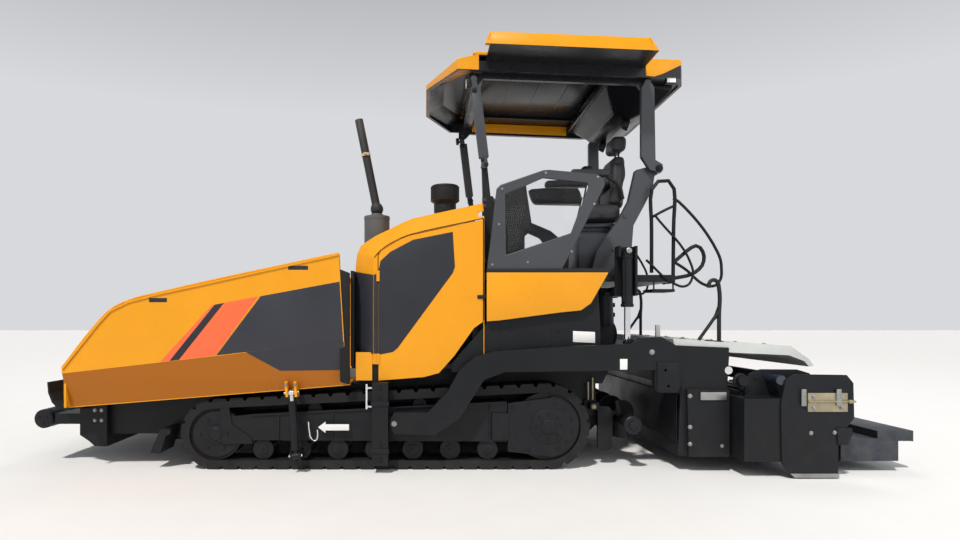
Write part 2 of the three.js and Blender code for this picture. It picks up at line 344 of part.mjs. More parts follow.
// ---------------------------------------------------------------- tow arms and screed
const A = ARM;
const armOutline = [[-590, 395], [-560, 330], [-222, 322], [-16, 463], [183, 777], [357, 843], [1600, 860], [1600, 700], [1640, 670], [1796, 670], [1816, 800], [1816, 943], [1763, 1070], [1655, 1133], [1490, 1125], [1399, 1075], [811, 1050], [274, 1013], [109, 967], [-16, 860], [-123, 670], [-280, 508], [-560, 507], [-590, 450]];
pair('tow_arm', join(prismY(armOutline, -A.outerY, -A.outerY + A.thick), cylY(1430, 1075, 40, -A.outerY + A.thick - 5, -1188, 18), cylY(1430, 1075, 24, -1192, -1125.3, 18)), BLACK);
pair('tow_point', join(
  prismY([[-743, 66], [-611, 66], [-611, 752], [-743, 752]], -A.outerY, -1150.3), prismY([[-743, 700], [-611, 700], [-611, 899.7], [-743, 899.7]], -1162, -1150.3),
  box(-615, -545, -1203, -1172, 380, 465), cylY(A.pivotX, A.pivotZ, 24, -1209.7, -1172, 16),
), BLACK);
const S = SCREED, E = EXT;
add('screed_body', join(
  prismY([[S.frontX, S.bottomZ], [S.rearX, S.bottomZ], [S.rearX, 700], [2250, 960], [2250, 1040], [1790, 1060], [1740, 960], [S.frontX + 20, 700]], -S.halfY + 20.3, S.halfY - 20.3),
  box(S.rearX - 5, E.frontX - GAP, -1200, 1200, 440, 520),
  prismY([[2045 - 150, S.bottomZ], [2235, S.bottomZ], [2235, 690], [1880, 696]], -S.halfY - 20, S.halfY + 20),
), DARK);
const handrail = join(
  pipe([[2262, -1000, 1050], [2262, -1000, 1300], [2262, -1000, 1560], [2230, -1000, 1625], [2180, -1000, 1600], [2170, -1000, 1560]], 15, 8, 16),
  pipe([[2262, -1000, 1350], [2180, -1000, 1230], [2080, -1000, 1090]], 13, 8, 6),
);
add('screed_cover', join(
  prismY([[2255, 1000], [2255, 1075], [2288, 1089], [2785, 1054], [2942, 941], [2977, 888], [2935, 880], [2900, 925], [2770, 975]], -1180, 1180),
  prismY([[1800, 1060.3], [1790, 1115], [2290, 1080], [2290, 1045], [2240, 1041]], -1180, 1180),
  handrail, mirrorY(handrail),
), LIGHT);
const ext = join(
  prismY([[E.frontX, E.bottomZ], [E.rearX, E.bottomZ], [E.rearX, 560], [2840, E.topZ], [E.frontX, E.topZ]], -E.outerY, -E.innerY),
  prismY([[2361, 500], [2900, 500], [2960, 560], [2945, 760], [2900, 830], [2800, 860], [2500, 862], [2400, 830], [2361, 760]], -1250, -1225),
  box(2895, 3200, -1200, -1150, 160, 240), box(2895, 3200, -300, -250, 160, 240), 
);
pair('extension', join(ext, box(3178, 3657, -1220, -70, 90, 275), prismY([[3485, 270], [3657, 258], [3782, 258], [3782, 340], [3620, 345], [3485, 342]], -1220, -70)), DARK);
pair('end_gate', prismY([[2557, 128], [2613, 31], [2661, 12], [3009, 12], [3009, 328], [3138, 488], [3131, 769], [3078, 833], [2653, 839], [2585, 785], [2549, 593]], -E.gateY, -E.outerY - GAP), BLACK);
// lift cylinders between the rear frame and the tow arms
const liftTop = [1430, -1095, 1865], liftEye = [1430, -1095, 1075];
const alongY = (p, half, r) => cylY(p[0], p[2], r, p[1] - half, p[1] + half, 20);
const alongX = (p, half, r) => new THREE.CylinderGeometry(r, r, 2 * half, 20).rotateZ(Math.PI / 2).translate(...p);
pair('lift_cylinder', cut(join(alongY(liftTop, 48, 28), rod([1430, -1095, 1862], [1430, -1095, 1385], 48, 20)), rod([1430, -1095, 1830], [1430, -1095, 1370], 26.8, 20)), BLACK);
pair('lift_rod', join(alongY(liftEye, 30, 30), rod([1430, -1095, 1120], [1430, -1095, 1075], 15, 12), rod([1430, -1095, 1560], [1430, -1095, 1114], 26, 20)), STEEL);

export default paver;
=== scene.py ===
"""Tracked asphalt paver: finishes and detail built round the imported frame."""

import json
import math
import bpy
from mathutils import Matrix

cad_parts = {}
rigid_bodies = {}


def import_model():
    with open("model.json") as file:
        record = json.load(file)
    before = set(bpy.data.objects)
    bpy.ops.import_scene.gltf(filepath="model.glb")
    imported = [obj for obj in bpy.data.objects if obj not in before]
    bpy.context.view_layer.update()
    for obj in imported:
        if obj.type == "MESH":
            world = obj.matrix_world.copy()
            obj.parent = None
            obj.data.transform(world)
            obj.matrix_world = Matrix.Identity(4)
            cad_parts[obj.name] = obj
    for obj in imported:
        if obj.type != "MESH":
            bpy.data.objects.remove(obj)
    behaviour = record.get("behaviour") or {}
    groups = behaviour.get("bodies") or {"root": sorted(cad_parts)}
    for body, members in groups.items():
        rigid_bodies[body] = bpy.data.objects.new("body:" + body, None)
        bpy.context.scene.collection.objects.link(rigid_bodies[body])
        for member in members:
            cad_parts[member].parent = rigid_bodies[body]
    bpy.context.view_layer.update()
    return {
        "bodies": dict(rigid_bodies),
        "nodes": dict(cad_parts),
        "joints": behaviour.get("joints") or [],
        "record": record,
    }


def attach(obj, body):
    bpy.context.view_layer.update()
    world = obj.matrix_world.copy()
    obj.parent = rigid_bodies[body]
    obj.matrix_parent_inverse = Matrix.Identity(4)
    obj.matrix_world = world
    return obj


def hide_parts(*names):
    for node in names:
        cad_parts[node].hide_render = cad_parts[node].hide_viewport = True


bl_info = {
    "name": "Tracked asphalt paver",
    "version": (1, 0, 0),
    "blender": (4, 5, 0),
    "location": "3D View > Sidebar > Paver",
    "description": "Models the visible pieces of a tracked asphalt paver around its frame",
    "category": "Object",
}

from contextlib import contextmanager

import bpy
from bpy.props import FloatProperty, FloatVectorProperty, PointerProperty
from mathutils import Matrix, Vector

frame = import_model()
WING, ROOF, SCREED, EXT = "hopper_wing_left", "canopy_roof", "screed", "extension_left"

# ------------------------------------------------------------------ settings


def colour(name, text, default):
    return FloatVectorProperty(name=name, description=text, subtype="COLOR", size=3, min=0, max=1,
        default=default)


class PaverFinishes(bpy.types.PropertyGroup):
    orange: colour("Orange", "Main body paint", (0.77, 0.315, 0.007))
    red: colour("Red-orange band", "Band on the hopper wings", (0.98, 0.13, 0.03))
    charcoal: colour("Charcoal panel", "Dark graphic on wings and doors", (0.022, 0.024, 0.031))
    black: colour("Chassis black", "Chassis and lower frames", (0.0085, 0.0095, 0.012))
    grey: colour("Post grey", "Canopy posts and screen frames", (0.052, 0.055, 0.063))
    light: colour("Light grey", "Screed cover plates", (0.58, 0.60, 0.58))
    rubber: colour("Rubber", "Tracks, apron and seals", (0.010, 0.010, 0.011))
    dust: colour("Dust", "Pale dust that settles low down", (0.20, 0.175, 0.145))


class PaverSizes(bpy.types.PropertyGroup):
    decal: FloatProperty(name="Film", description="Thickness of a stuck-on graphic", default=0.0012,
        unit="LENGTH")
    swell: FloatProperty(name="Pad swell", description="How far a pad's cover may bulge", default=0.014,
        unit="LENGTH")
    grain: FloatProperty(name="Pad grain", description="Mesh size of a padded cover", default=0.007,
        unit="LENGTH")


class PaverStage(bpy.types.PropertyGroup):
    key: FloatProperty(name="Key light", description="Strength of the sun-like key light", default=2.9)
    sky: FloatProperty(name="Overhead", description="Strength of the surround overhead", default=0.30)
    horizon: FloatProperty(name="Horizon", description="Strength of the surround near the horizon",
        default=0.72)
    floor: colour("Floor", "Plain floor", (0.80, 0.80, 0.80))


# ------------------------------------------------------------------ finishes


def surface(name, base, rough=0.45, metal=0.0, coat=0.0, mottle=0.10, scale=3.0, grain=90.0, bump=0.05,
    dust=0, dust_height=0.9, band=None, shine=0.5, under=None):
    """One painted, rubber or steel finish: mottled colour, uneven gloss, fine grain, dust low down, and,
    when under is given, painted shade on faces that point down.
    """
    name = "paver_" + name
    if name in bpy.data.materials:
        return bpy.data.materials[name]
    mat = bpy.data.materials.new(name)
    mat.use_nodes = True
    tree = mat.node_tree
    nodes, link = tree.nodes, tree.links.new
    shader = nodes["Principled BSDF"]
    shader.inputs["Metallic"].default_value = metal
    shader.inputs["Coat Weight"].default_value = coat
    shader.inputs["Coat Roughness"].default_value = 0.12
    shader.inputs["Specular IOR Level"].default_value = shine
    place = nodes.new("ShaderNodeTexCoord")

    def noise(size, detail, roughness=0.55):
        n = nodes.new("ShaderNodeTexNoise")
        n.inputs["Scale"].default_value = size
        n.inputs["Detail"].default_value = detail
        n.inputs["Roughness"].default_value = roughness
        link(place.outputs["Object"], n.inputs["Vector"])
        return n

    def spread(value, low, high, from_low=0.3, from_high=0.7):
        n = nodes.new("ShaderNodeMapRange")
        for socket, number in zip(list(n.inputs)[1:5], (from_low, from_high, low, high)):
            socket.default_value = number
        link(value, n.inputs[0])
        return n.outputs[0]

    def part(socket, axis):
        n = nodes.new("ShaderNodeSeparateXYZ")
        link(place.outputs[socket], n.inputs[0])
        return n.outputs[axis]

    def blend(factor, a, b):
        n = nodes.new("ShaderNodeMix")
        n.data_type = "RGBA"
        link(factor, n.inputs[0])
        for socket, value in ((n.inputs[6], a), (n.inputs[7], b)):
            if isinstance(value, tuple):
                socket.default_value = value
            else:
                link(value, socket)
        return n.outputs[2]

    broad, fine = noise(scale, 5), noise(grain, 3)
    dark = tuple(c * (1 - mottle) for c in base) + (1.0,)
    bright = tuple(min(1.0, c * (1 + mottle)) for c in base) + (1.0,)
    tint = blend(spread(broad.outputs["Fac"], 0, 1), dark, bright)
    if band:
        axis, start, end, other = band
        tint = blend(spread(part("Object", axis), 0, 1, start, end), tint, tuple(other) + (1.0,))
    # Painted shade: faces whose own normal points down (Z below -0.10, fully below -0.22) blend to the
    # darker under colour, standing in for the shade on downward-sloping panels.
    if under:
        tint = blend(spread(part("Normal", "Z"), 1, 0, -0.22, -0.10), tint, tuple(under) + (1.0,))
    if dust:
        low = spread(part("Object", "Z"), dust, 0.0, 0.0, dust_height)
        patch = noise(9.0, 6, 0.7)
        both = nodes.new("ShaderNodeMath")
        both.operation = "MULTIPLY"
        link(low, both.inputs[0])
        link(spread(patch.outputs["Fac"], 0.15, 1.0, 0.38, 0.66), both.inputs[1])
        tone = tuple(bpy.context.scene.paver_finishes.dust) + (1.0,)
        tint = blend(both.outputs[0], tint, tone)
    link(tint, shader.inputs["Base Color"])
    link(spread(broad.outputs["Fac"], max(0.04, rough - 0.07), min(1.0, rough + 0.10)),
        shader.inputs["Roughness"])
    relief = nodes.new("ShaderNodeBump")
    relief.inputs["Strength"].default_value = bump
    relief.inputs["Distance"].default_value = 0.002
    link(fine.outputs["Fac"], relief.inputs["Height"])
    link(relief.outputs["Normal"], shader.inputs["Normal"])
    return mat


def tread_surface(name, base, rough, pitch=0.03):
    """Sheet with raised tread bars, from two crossed waves in the object's own place."""
    mat = surface(name, base, rough, metal=0.2, bump=0.1, dust=0.25, dust_height=2.2)
    tree = mat.node_tree
    nodes, link = tree.nodes, tree.links.new
    relief = next(n for n in nodes if n.bl_idname == "ShaderNodeBump")
    if any(n.bl_idname == "ShaderNodeTexWave" for n in nodes):
        return mat
    place = next(n for n in nodes if n.bl_idname == "ShaderNodeTexCoord")
    waves = []
    for turn in (math.radians(45), math.radians(-45)):
        spin = nodes.new("ShaderNodeMapping")
        spin.inputs["Rotation"].default_value = (0, 0, turn)
        wave = nodes.new("ShaderNodeTexWave")
        wave.inputs["Scale"].default_value = 1 / (pitch * 6.28)
        link(place.outputs["Object"], spin.inputs["Vector"])
        link(spin.outputs["Vector"], wave.inputs["Vector"])
        waves.append(wave)
    most = nodes.new("ShaderNodeMath")
    most.operation = "MULTIPLY"
    link(waves[0].outputs["Fac"], most.inputs[0])
    link(waves[1].outputs["Fac"], most.inputs[1])
    link(most.outputs[0], relief.inputs["Height"])
    relief.inputs["Strength"].default_value = 0.6
    relief.inputs["Distance"].default_value = 0.004
    return mat


def glass_surface(name, tone, rough, see_through):
    """A clear sheet with even gloss."""
    mat = surface(name, tone, rough, mottle=0.03, bump=0.01)
    shader = mat.node_tree.nodes["Principled BSDF"]
    for join in list(shader.inputs["Roughness"].links):
        mat.node_tree.links.remove(join)
    shader.inputs["Roughness"].default_value = rough
    shader.inputs["Transmission Weight"].default_value = see_through
    shader.inputs["IOR"].default_value = 1.2
    return mat


FINISHES = {
    "orange": ("orange_paint", "orange", 0.34, dict(coat=0.15, mottle=0.03, bump=0.02, dust=0.03,
        dust_height=1.1, shine=0.25)),
    "red": ("red_band", "red", 0.3, dict(coat=0.4, mottle=0.03, bump=0.01, dust=0.1)),
    # The wing finish is the orange paint plus painted shade: its faces that point down take the darker
    # orange under colour.
    "wing": ("wing_paint", "orange", 0.34, dict(coat=0.15, mottle=0.03, bump=0.02, dust=0.03,
        dust_height=1.1, shine=0.25, under=(0.40, 0.122, 0.001))),
    "charcoal": ("charcoal_film", "charcoal", 0.40, dict(mottle=0.08, bump=0.02, dust=0.05, dust_height=1.5,
        shine=0.3)),
    "slate": ("slate_film", (0.030, 0.032, 0.042), 0.36, dict(mottle=0.06, bump=0.02, dust=0.05,
        dust_height=1.5, shine=0.35)),
    "black": ("chassis_black", "black", 0.44, dict(mottle=0.14, dust=0.04, shine=0.22)),
    "gloss_black": ("moulded_black", (0.010, 0.0105, 0.013), 0.3, dict(mottle=0.08, bump=0.01, shine=0.4)),
    "plastic": ("grained_plastic", (0.012, 0.012, 0.0135), 0.5,
        dict(mottle=0.12, grain=260, bump=0.25, shine=0.3)),
    "grey": ("post_grey", "grey", 0.42, dict(mottle=0.08, shine=0.35)),
    "ram": ("ram_blue", (0.012, 0.018, 0.032), 0.16, dict(mottle=0.05, bump=0.01, shine=0.8)),
    "light": ("light_plate", "light", 0.38, dict(metal=0.25, mottle=0.06, dust=0.1, dust_height=2)),
    "rubber": ("rubber", "rubber", 0.62, dict(mottle=0.25, grain=60, bump=0.3, dust=0.07, dust_height=0.5,
        shine=0.25)),
    "steel": ("worn_steel", (0.34, 0.34, 0.33), 0.4, dict(metal=0.9, mottle=0.2, scale=9, grain=160,
        bump=0.15, dust=0.1)),
    "chrome": ("chrome_rod", (0.78, 0.78, 0.79), 0.09, dict(metal=1, mottle=0.03, bump=0.01)),
    "zinc": ("zinc_yellow", (0.36, 0.31, 0.20), 0.4, dict(metal=0.75, mottle=0.18, scale=12, bump=0.1,
        dust=0.2)),
    "exhaust": ("heat_steel", (0.060, 0.056, 0.054), 0.55, dict(metal=0.45, mottle=0.25, scale=6, bump=0.08,
        band=("Z", 3.35, 2.95, (0.035, 0.034, 0.034)))),
    "liner": ("roof_liner", (0.006, 0.0063, 0.008), 0.24, dict(scale=2, bump=0, shine=0.14)),
    "vinyl": ("seat_vinyl", (0.013, 0.0135, 0.017), 0.46, dict(mottle=0.12, grain=320, bump=0.45)),
    "grip": ("soft_grip", (0.02, 0.02, 0.02), 0.7, dict(grain=300, bump=0.3)),
    "cloth_tie": ("beige_strap", (0.55, 0.45, 0.30), 0.8, dict(grain=400, bump=0.4)),
    "white": ("white_plate", (0.78, 0.78, 0.76), 0.4, dict(mottle=0.03, bump=0.02, dust=0.05)),
    "lamp": ("lamp_reflector", (0.85, 0.85, 0.83), 0.15, dict(metal=0.7, mottle=0.03, bump=0.02)),
    "amber": ("amber_lens", (0.85, 0.28, 0.02), 0.15, dict(coat=0.5, mottle=0.03, bump=0.02)),
    "screen": ("display_glass", (0.02, 0.025, 0.035), 0.08, dict(coat=0.7, mottle=0.05, bump=0)),
    "engine": ("engine_grey", (0.10, 0.105, 0.11), 0.5, dict(metal=0.3, mottle=0.2, bump=0.15, dust=0.1)),
    "tread": ("deck_tread", (0.032, 0.033, 0.036), 0.5, dict()),
    "walk": ("walkway_tread", (0.020, 0.028, 0.042), 0.5, dict(pitch=0.04)),
    "clear": ("clear_sheet", (0.96, 0.97, 0.98), 0.0, dict(see_through=1)),
}


def finish(kind):
    """The named finish, made on first use. A base given by name is one of the colour settings."""
    name, base, rough, more = FINISHES[kind]
    if isinstance(base, str):
        base = getattr(bpy.context.scene.paver_finishes, base)
    make = {"tread": tread_surface, "walk": tread_surface, "clear": glass_surface}.get(kind, surface)
    return make(name, tuple(base), rough, **more)


# ------------------------------------------------------------------ modelling


def only(obj):
    bpy.ops.object.select_all(action="DESELECT")
    obj.select_set(True)
    bpy.context.view_layer.objects.active = obj


def settle(obj):
    """Puts the object's place, turn and size into its mesh."""
    only(obj)
    bpy.ops.object.transform_apply(location=True, rotation=True, scale=True)
    return obj


@contextmanager
def editing(select="SELECT", outward=True):
    """Edit mode on the active object, with all or none selected; its faces look out when it is left."""
    bpy.ops.object.mode_set(mode="EDIT")
    bpy.ops.mesh.select_all(action=select)
    yield
    if outward:
        bpy.ops.mesh.select_all(action="SELECT")
        bpy.ops.mesh.normals_make_consistent(inside=False)
    bpy.ops.object.mode_set(mode="OBJECT")


def applied(obj, kind, **values):
    """Adds a modifier with these values and applies it."""
    only(obj)
    mod = obj.modifiers.new(kind, kind)
    for key, value in values.items():
        setattr(mod, key, value)
    bpy.ops.object.modifier_apply(modifier=mod.name)
    return obj


def smooth(obj, degrees=32):
    only(obj)
    bpy.ops.object.shade_smooth_by_angle(angle=math.radians(degrees))
    return obj


def soften(obj, width, segments=2):
    """Rounds the edges with a bevel that is applied, then shades smooth by angle."""
    if width:
        applied(obj, "BEVEL", width=width, segments=segments, limit_method="ANGLE",
            angle_limit=math.radians(35))
    return smooth(obj)


PLANES = {"XZ": (0, 2, 1), "XY": (0, 1, 2), "YZ": (1, 2, 0)}


def plate(outline, low, high, edge=0.0, segments=2, plane="XZ"):
    """A flat outline, millimetres, in the named plane, pushed from low to high along the third axis."""
    a, b, c = PLANES[plane]
    bpy.ops.mesh.primitive_circle_add(vertices=len(outline), radius=1, fill_type="NGON")
    obj = bpy.context.object
    for vertex, (p, q) in zip(obj.data.vertices, outline):
        spot = [0.0, 0.0, 0.0]
        spot[a], spot[b], spot[c] = p / 1000, q / 1000, low / 1000
        vertex.co = spot
    push = [0.0, 0.0, 0.0]
    push[c] = (high - low) / 1000
    with editing():
        bpy.ops.mesh.extrude_region_move(TRANSFORM_OT_translate={"value": push})
    return soften(obj, edge / 1000, segments)


def block(x0, x1, y0, y1, z0, z1, edge=3.0, segments=2):
    """A cut bar or cast block between two corners, millimetres, with rounded edges."""
    return plate([(x0, z0), (x1, z0), (x1, z1), (x0, z1)], y0, y1, edge, segments)


def turned(start, end, profile, sides=32):
    """A round piece from start to end; profile is (share of the line, radius in millimetres) pairs."""
    p, q = Vector(start) / 1000, Vector(end) / 1000
    line = q - p
    bpy.ops.mesh.primitive_circle_add(vertices=sides, radius=profile[0][1] / 1000, fill_type="NGON")
    obj = bpy.context.object
    with editing():
        bpy.ops.transform.translate(value=(0, 0, profile[0][0] * line.length))
        for (s0, r0), (s1, r1) in zip(profile, profile[1:]):
            bpy.ops.mesh.extrude_region_move(TRANSFORM_OT_translate={"value": (0, 0,
                (s1 - s0) * line.length)})
            if abs(r1 - r0) > 1e-6:
                k = r1 / r0
                bpy.ops.transform.resize(value=(k, k, 1), center_override=(0, 0, s1 * line.length))
    obj.rotation_mode = "QUATERNION"
    obj.rotation_quaternion = Vector((0, 0, 1)).rotation_difference(line.normalized())
    obj.location = p
    return smooth(settle(obj))


def lathe_y(x, y0, y1, z, profile, sides=32):
    """A round piece on a line across the machine."""
    return turned((x, y0, z), (x, y1, z), profile, sides)


def lathe_z(x, y, z0, z1, profile, sides=32):
    """A round piece on an upright line."""
    return turned((x, y, z0), (x, y, z1), profile, sides)


def shaft(start, end, radius, chamfer=2.0, sides=24):
    length = (Vector(end) - Vector(start)).length
    c = min(chamfer, radius * 0.4) / length
    return turned(start, end, [(0, radius - chamfer * 0.7), (c, radius), (1 - c, radius),
        (1, radius - chamfer * 0.7)], sides)


def hex_bolt(spot, axis, radius=14.0, height=11.0):
    """A hex head on its washer."""
    p, d = Vector(spot), Vector(axis).normalized()
    washer = turned(p - d * 0.5, p + d * 3, [(0, radius * 1.45), (1, radius * 1.4)], 20)
    head = turned(p + d * 2, p + d * (2 + height), [(0, radius), (0.82, radius), (1, radius * 0.86)], 6)
    return fuse([washer, head])


def stud(x, y, z, radius, height):
    """A hex head that faces the machine's left."""
    return hex_bolt((x, y, z), (0, -1, 0), radius, height)


def studs(y, radius, height, *spots):
    """Hex heads of one size on one face, at (x, z)."""
    return [stud(x, y, z, radius, height) for x, z in spots]


def bolt_circle(x, y, z, ring, angles, radius, height):
    """Hex heads on a circle of one face, at angles in radians."""
    return [stud(x + ring * math.cos(a), y, z + ring * math.sin(a), radius, height) for a in angles]


def bent(points, radius, sides=10, steps=8, y=None):
    """A round tube along a smooth line through the points, or (x, z) points at one y, with closed ends."""
    line = bpy.data.curves.new("bent", "CURVE")
    line.dimensions = "3D"
    line.bevel_depth = radius / 1000
    line.bevel_resolution = max(1, sides // 4)
    line.resolution_u = steps
    line.use_fill_caps = True
    spline = line.splines.new("BEZIER")
    spline.bezier_points.add(len(points) - 1)
    for point, spot in zip(spline.bezier_points, points):
        point.co = Vector(spot if y is None else (spot[0], y, spot[1])) / 1000
        point.handle_left_type = point.handle_right_type = "AUTO"
    obj = bpy.data.objects.new("bent", line)
    bpy.context.collection.objects.link(obj)
    only(obj)
    bpy.ops.object.convert(target="MESH")
    obj = bpy.context.object
    with editing():
        bpy.ops.mesh.remove_doubles(threshold=0.00005)
    return smooth(obj, 50)


def fuse(objs):
    """Joins finished shapes into one object."""
    objs = [o for o in objs if o]
    if len(objs) > 1:
        bpy.ops.object.select_all(action="DESELECT")
        for o in objs:
            o.select_set(True)
        bpy.context.view_layer.objects.active = objs[0]
        bpy.ops.object.join()
    return objs[0]


def joined(shape):
    """A list of shapes as one object; one shape as it is."""
    return fuse(shape) if isinstance(shape, list) else shape


def clone(obj, change):
    """A copy with a mesh of its own, changed by the matrix."""
    other = obj.copy()
    other.data = obj.data.copy()
    bpy.context.collection.objects.link(other)
    other.data.transform(change)
    return other


def copies(obj, offsets):
    """The shape and its copies, each moved by an offset in millimetres, joined."""
    return fuse([obj] + [clone(obj, Matrix.Translation(Vector(move) / 1000)) for move in offsets])


def other_side(obj):
    """The same piece mirrored to the machine's other side, with its faces turned out again."""
    twin = clone(obj, Matrix.Scale(-1, 4, (0, 1, 0)))
    only(twin)
    with editing(outward=False):
        bpy.ops.mesh.flip_normals()
    return twin


def piece(obj, name, kind, body="root", replaces=()):
    """Names a finished shape, gives it its finish and lets it ride on its body."""
    obj = joined(obj)
    obj.name = obj.data.name = name
    obj.data.materials.clear()
    obj.data.materials.append(finish(kind))
    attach(obj, body)
    if replaces:
        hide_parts(*replaces)
    return obj


def pair(obj, name, kind, body="root", replaces=()):
    """A left-hand shape and its mirrored twin. A body or node name ending in _left has its _right twin."""
    obj = joined(obj)
    twin = other_side(obj)
    piece(obj, f"{name}_left", kind, body, replaces)
    swap = lambda text: text.replace("_left", "_right")
    piece(twin, f"{name}_right", kind, swap(body), tuple(swap(r) for r in replaces))


def dress(node, kind, edge=0.0, segments=2):
    """A CAD node that stays: its finish, and a live rounding of its sharp edges."""
    obj = frame["nodes"][node]
    obj.data.materials.clear()
    obj.data.materials.append(finish(kind))
    if edge:
        weld = obj.modifiers.new("weld", "WELD")
        weld.merge_threshold = 0.0002
        mod = obj.modifiers.new("edge", "BEVEL")
        mod.width, mod.segments = edge / 1000, segments
        mod.limit_method, mod.angle_limit = "ANGLE", math.radians(40)
        mod.harden_normals = False


def leaning(obj, rule):
    """Shifts every corner sideways by rule(x, z), millimetres: for film on a sloping sheet."""
    for vertex in obj.data.vertices:
        x, y, z = vertex.co * 1000
        vertex.co.y = (y + rule(x, z)) / 1000
    return obj


def sheet_plate(corners, thickness, edge=1.0):
    """A flat plate through 3D corners, millimetres, thickened outwards."""
    bpy.ops.mesh.primitive_circle_add(vertices=len(corners), radius=1, fill_type="NGON")
    obj = bpy.context.object
    for vertex, spot in zip(obj.data.vertices, corners):
        vertex.co = Vector(spot) / 1000
    applied(obj, "SOLIDIFY", thickness=thickness / 1000, offset=1)
    with editing():
        pass
    return soften(obj, edge / 1000)


def around(obj, centre, axis, count):
    """The shape and its copies turned evenly about an axis through centre, millimetres, joined."""
    made, mid = [obj], Matrix.Translation(Vector(centre) / 1000)
    for i in range(1, count):
        made.append(clone(obj, mid @ Matrix.Rotation(2 * math.pi * i / count, 4,
            Vector(axis)) @ mid.inverted()))
    return fuse(made)


def hulled(points, edge=0.0, segments=2):
    """The solid stretched over the points, millimetres."""
    mesh = bpy.data.meshes.new("hull")
    mesh.from_pydata([Vector(p) / 1000 for p in points], [], [])
    obj = bpy.data.objects.new("hull", mesh)
    bpy.context.collection.objects.link(obj)
    only(obj)
    with editing():
        bpy.ops.mesh.convex_hull()
        bpy.ops.mesh.dissolve_limited(angle_limit=0.01)
    return soften(obj, edge / 1000, segments)


def carved(obj, tool):
    """obj less tool."""
    applied(obj, "BOOLEAN", object=tool, operation="DIFFERENCE", solver="EXACT")
    bpy.data.objects.remove(tool)
    return obj


def stuffed(obj):
    """Fills a pad out by a cloth run under pressure; no point moves further than the swell setting."""
    sizes = bpy.context.scene.paver_sizes
    cap, grain = sizes.swell, sizes.grain
    applied(obj, "REMESH", mode="VOXEL", voxel_size=grain)
    start = [v.co.copy() for v in obj.data.vertices]
    mod = obj.modifiers.new("stuffing", "CLOTH")
    mod.settings.use_pressure, mod.settings.uniform_pressure_force = True, 4
    mod.settings.effector_weights.gravity = 0
    mod.point_cache.frame_start, mod.point_cache.frame_end = 1, 20
    for frame in range(1, 21):
        bpy.context.scene.frame_set(frame)
    bpy.ops.object.modifier_apply(modifier=mod.name)
    bpy.context.scene.frame_set(1)
    for vertex, first in zip(obj.data.vertices, start):
        way = vertex.co - first
        if way.length > cap:
            vertex.co = first + way * (cap / way.length)
    applied(obj, "SMOOTH", iterations=4)
    applied(obj, "SUBSURF", levels=1, render_levels=1)
    bpy.ops.object.shade_smooth()
    return obj


def cushion(x0, x1, y0, y1, z0, z1, crown=18.0, pull=0.10, round_to=40.0, lean=0.0):
    """A crowned pad: its faces swell, its sides pull in between the corners."""
    bpy.ops.mesh.primitive_cube_add(size=1)
    obj = bpy.context.object
    obj.scale = ((x1 - x0) / 1000, (y1 - y0) / 1000, (z1 - z0) / 1000)
    settle(obj)
    applied(obj, "BEVEL", width=round_to / 1000, segments=3)
    with editing(outward=False):
        bpy.ops.mesh.subdivide(number_cuts=3)
    hx, hy, hz = (x1 - x0) / 2000, (y1 - y0) / 2000, (z1 - z0) / 2000
    small = min(hx, hy, hz)
    for v in obj.data.vertices:
        a, b, c = v.co.x / hx, v.co.y / hy, v.co.z / hz
        if small == hz:
            v.co.z += math.copysign(crown / 1000, c) * max(0, 1 - a * a) * max(0, 1 - b * b) * min(1,
                abs(c) * 1.5)
            v.co.x *= 1 - pull * 0.15 * (1 - b * b)
            v.co.y *= 1 - pull * 0.15 * (1 - a * a)
        else:
            v.co.x += math.copysign(crown / 1000, a) * max(0, 1 - c * c) * max(0, 1 - b * b) * min(1,
                abs(a) * 1.5)
            v.co.z *= 1 - pull * 0.15 * (1 - b * b)
            v.co.y *= 1 - pull * 0.15 * (1 - c * c)
        v.co.x += lean * (v.co.z / (2 * hz) + 0.5) / 1000
        v.co += Vector(((x0 + x1) / 2, (y0 + y1) / 2, (z0 + z1) / 2)) / 1000
    applied(obj, "SUBSURF", levels=1, render_levels=1)
    bpy.ops.object.shade_smooth()
    return obj


# ------------------------------------------------------------------ operators


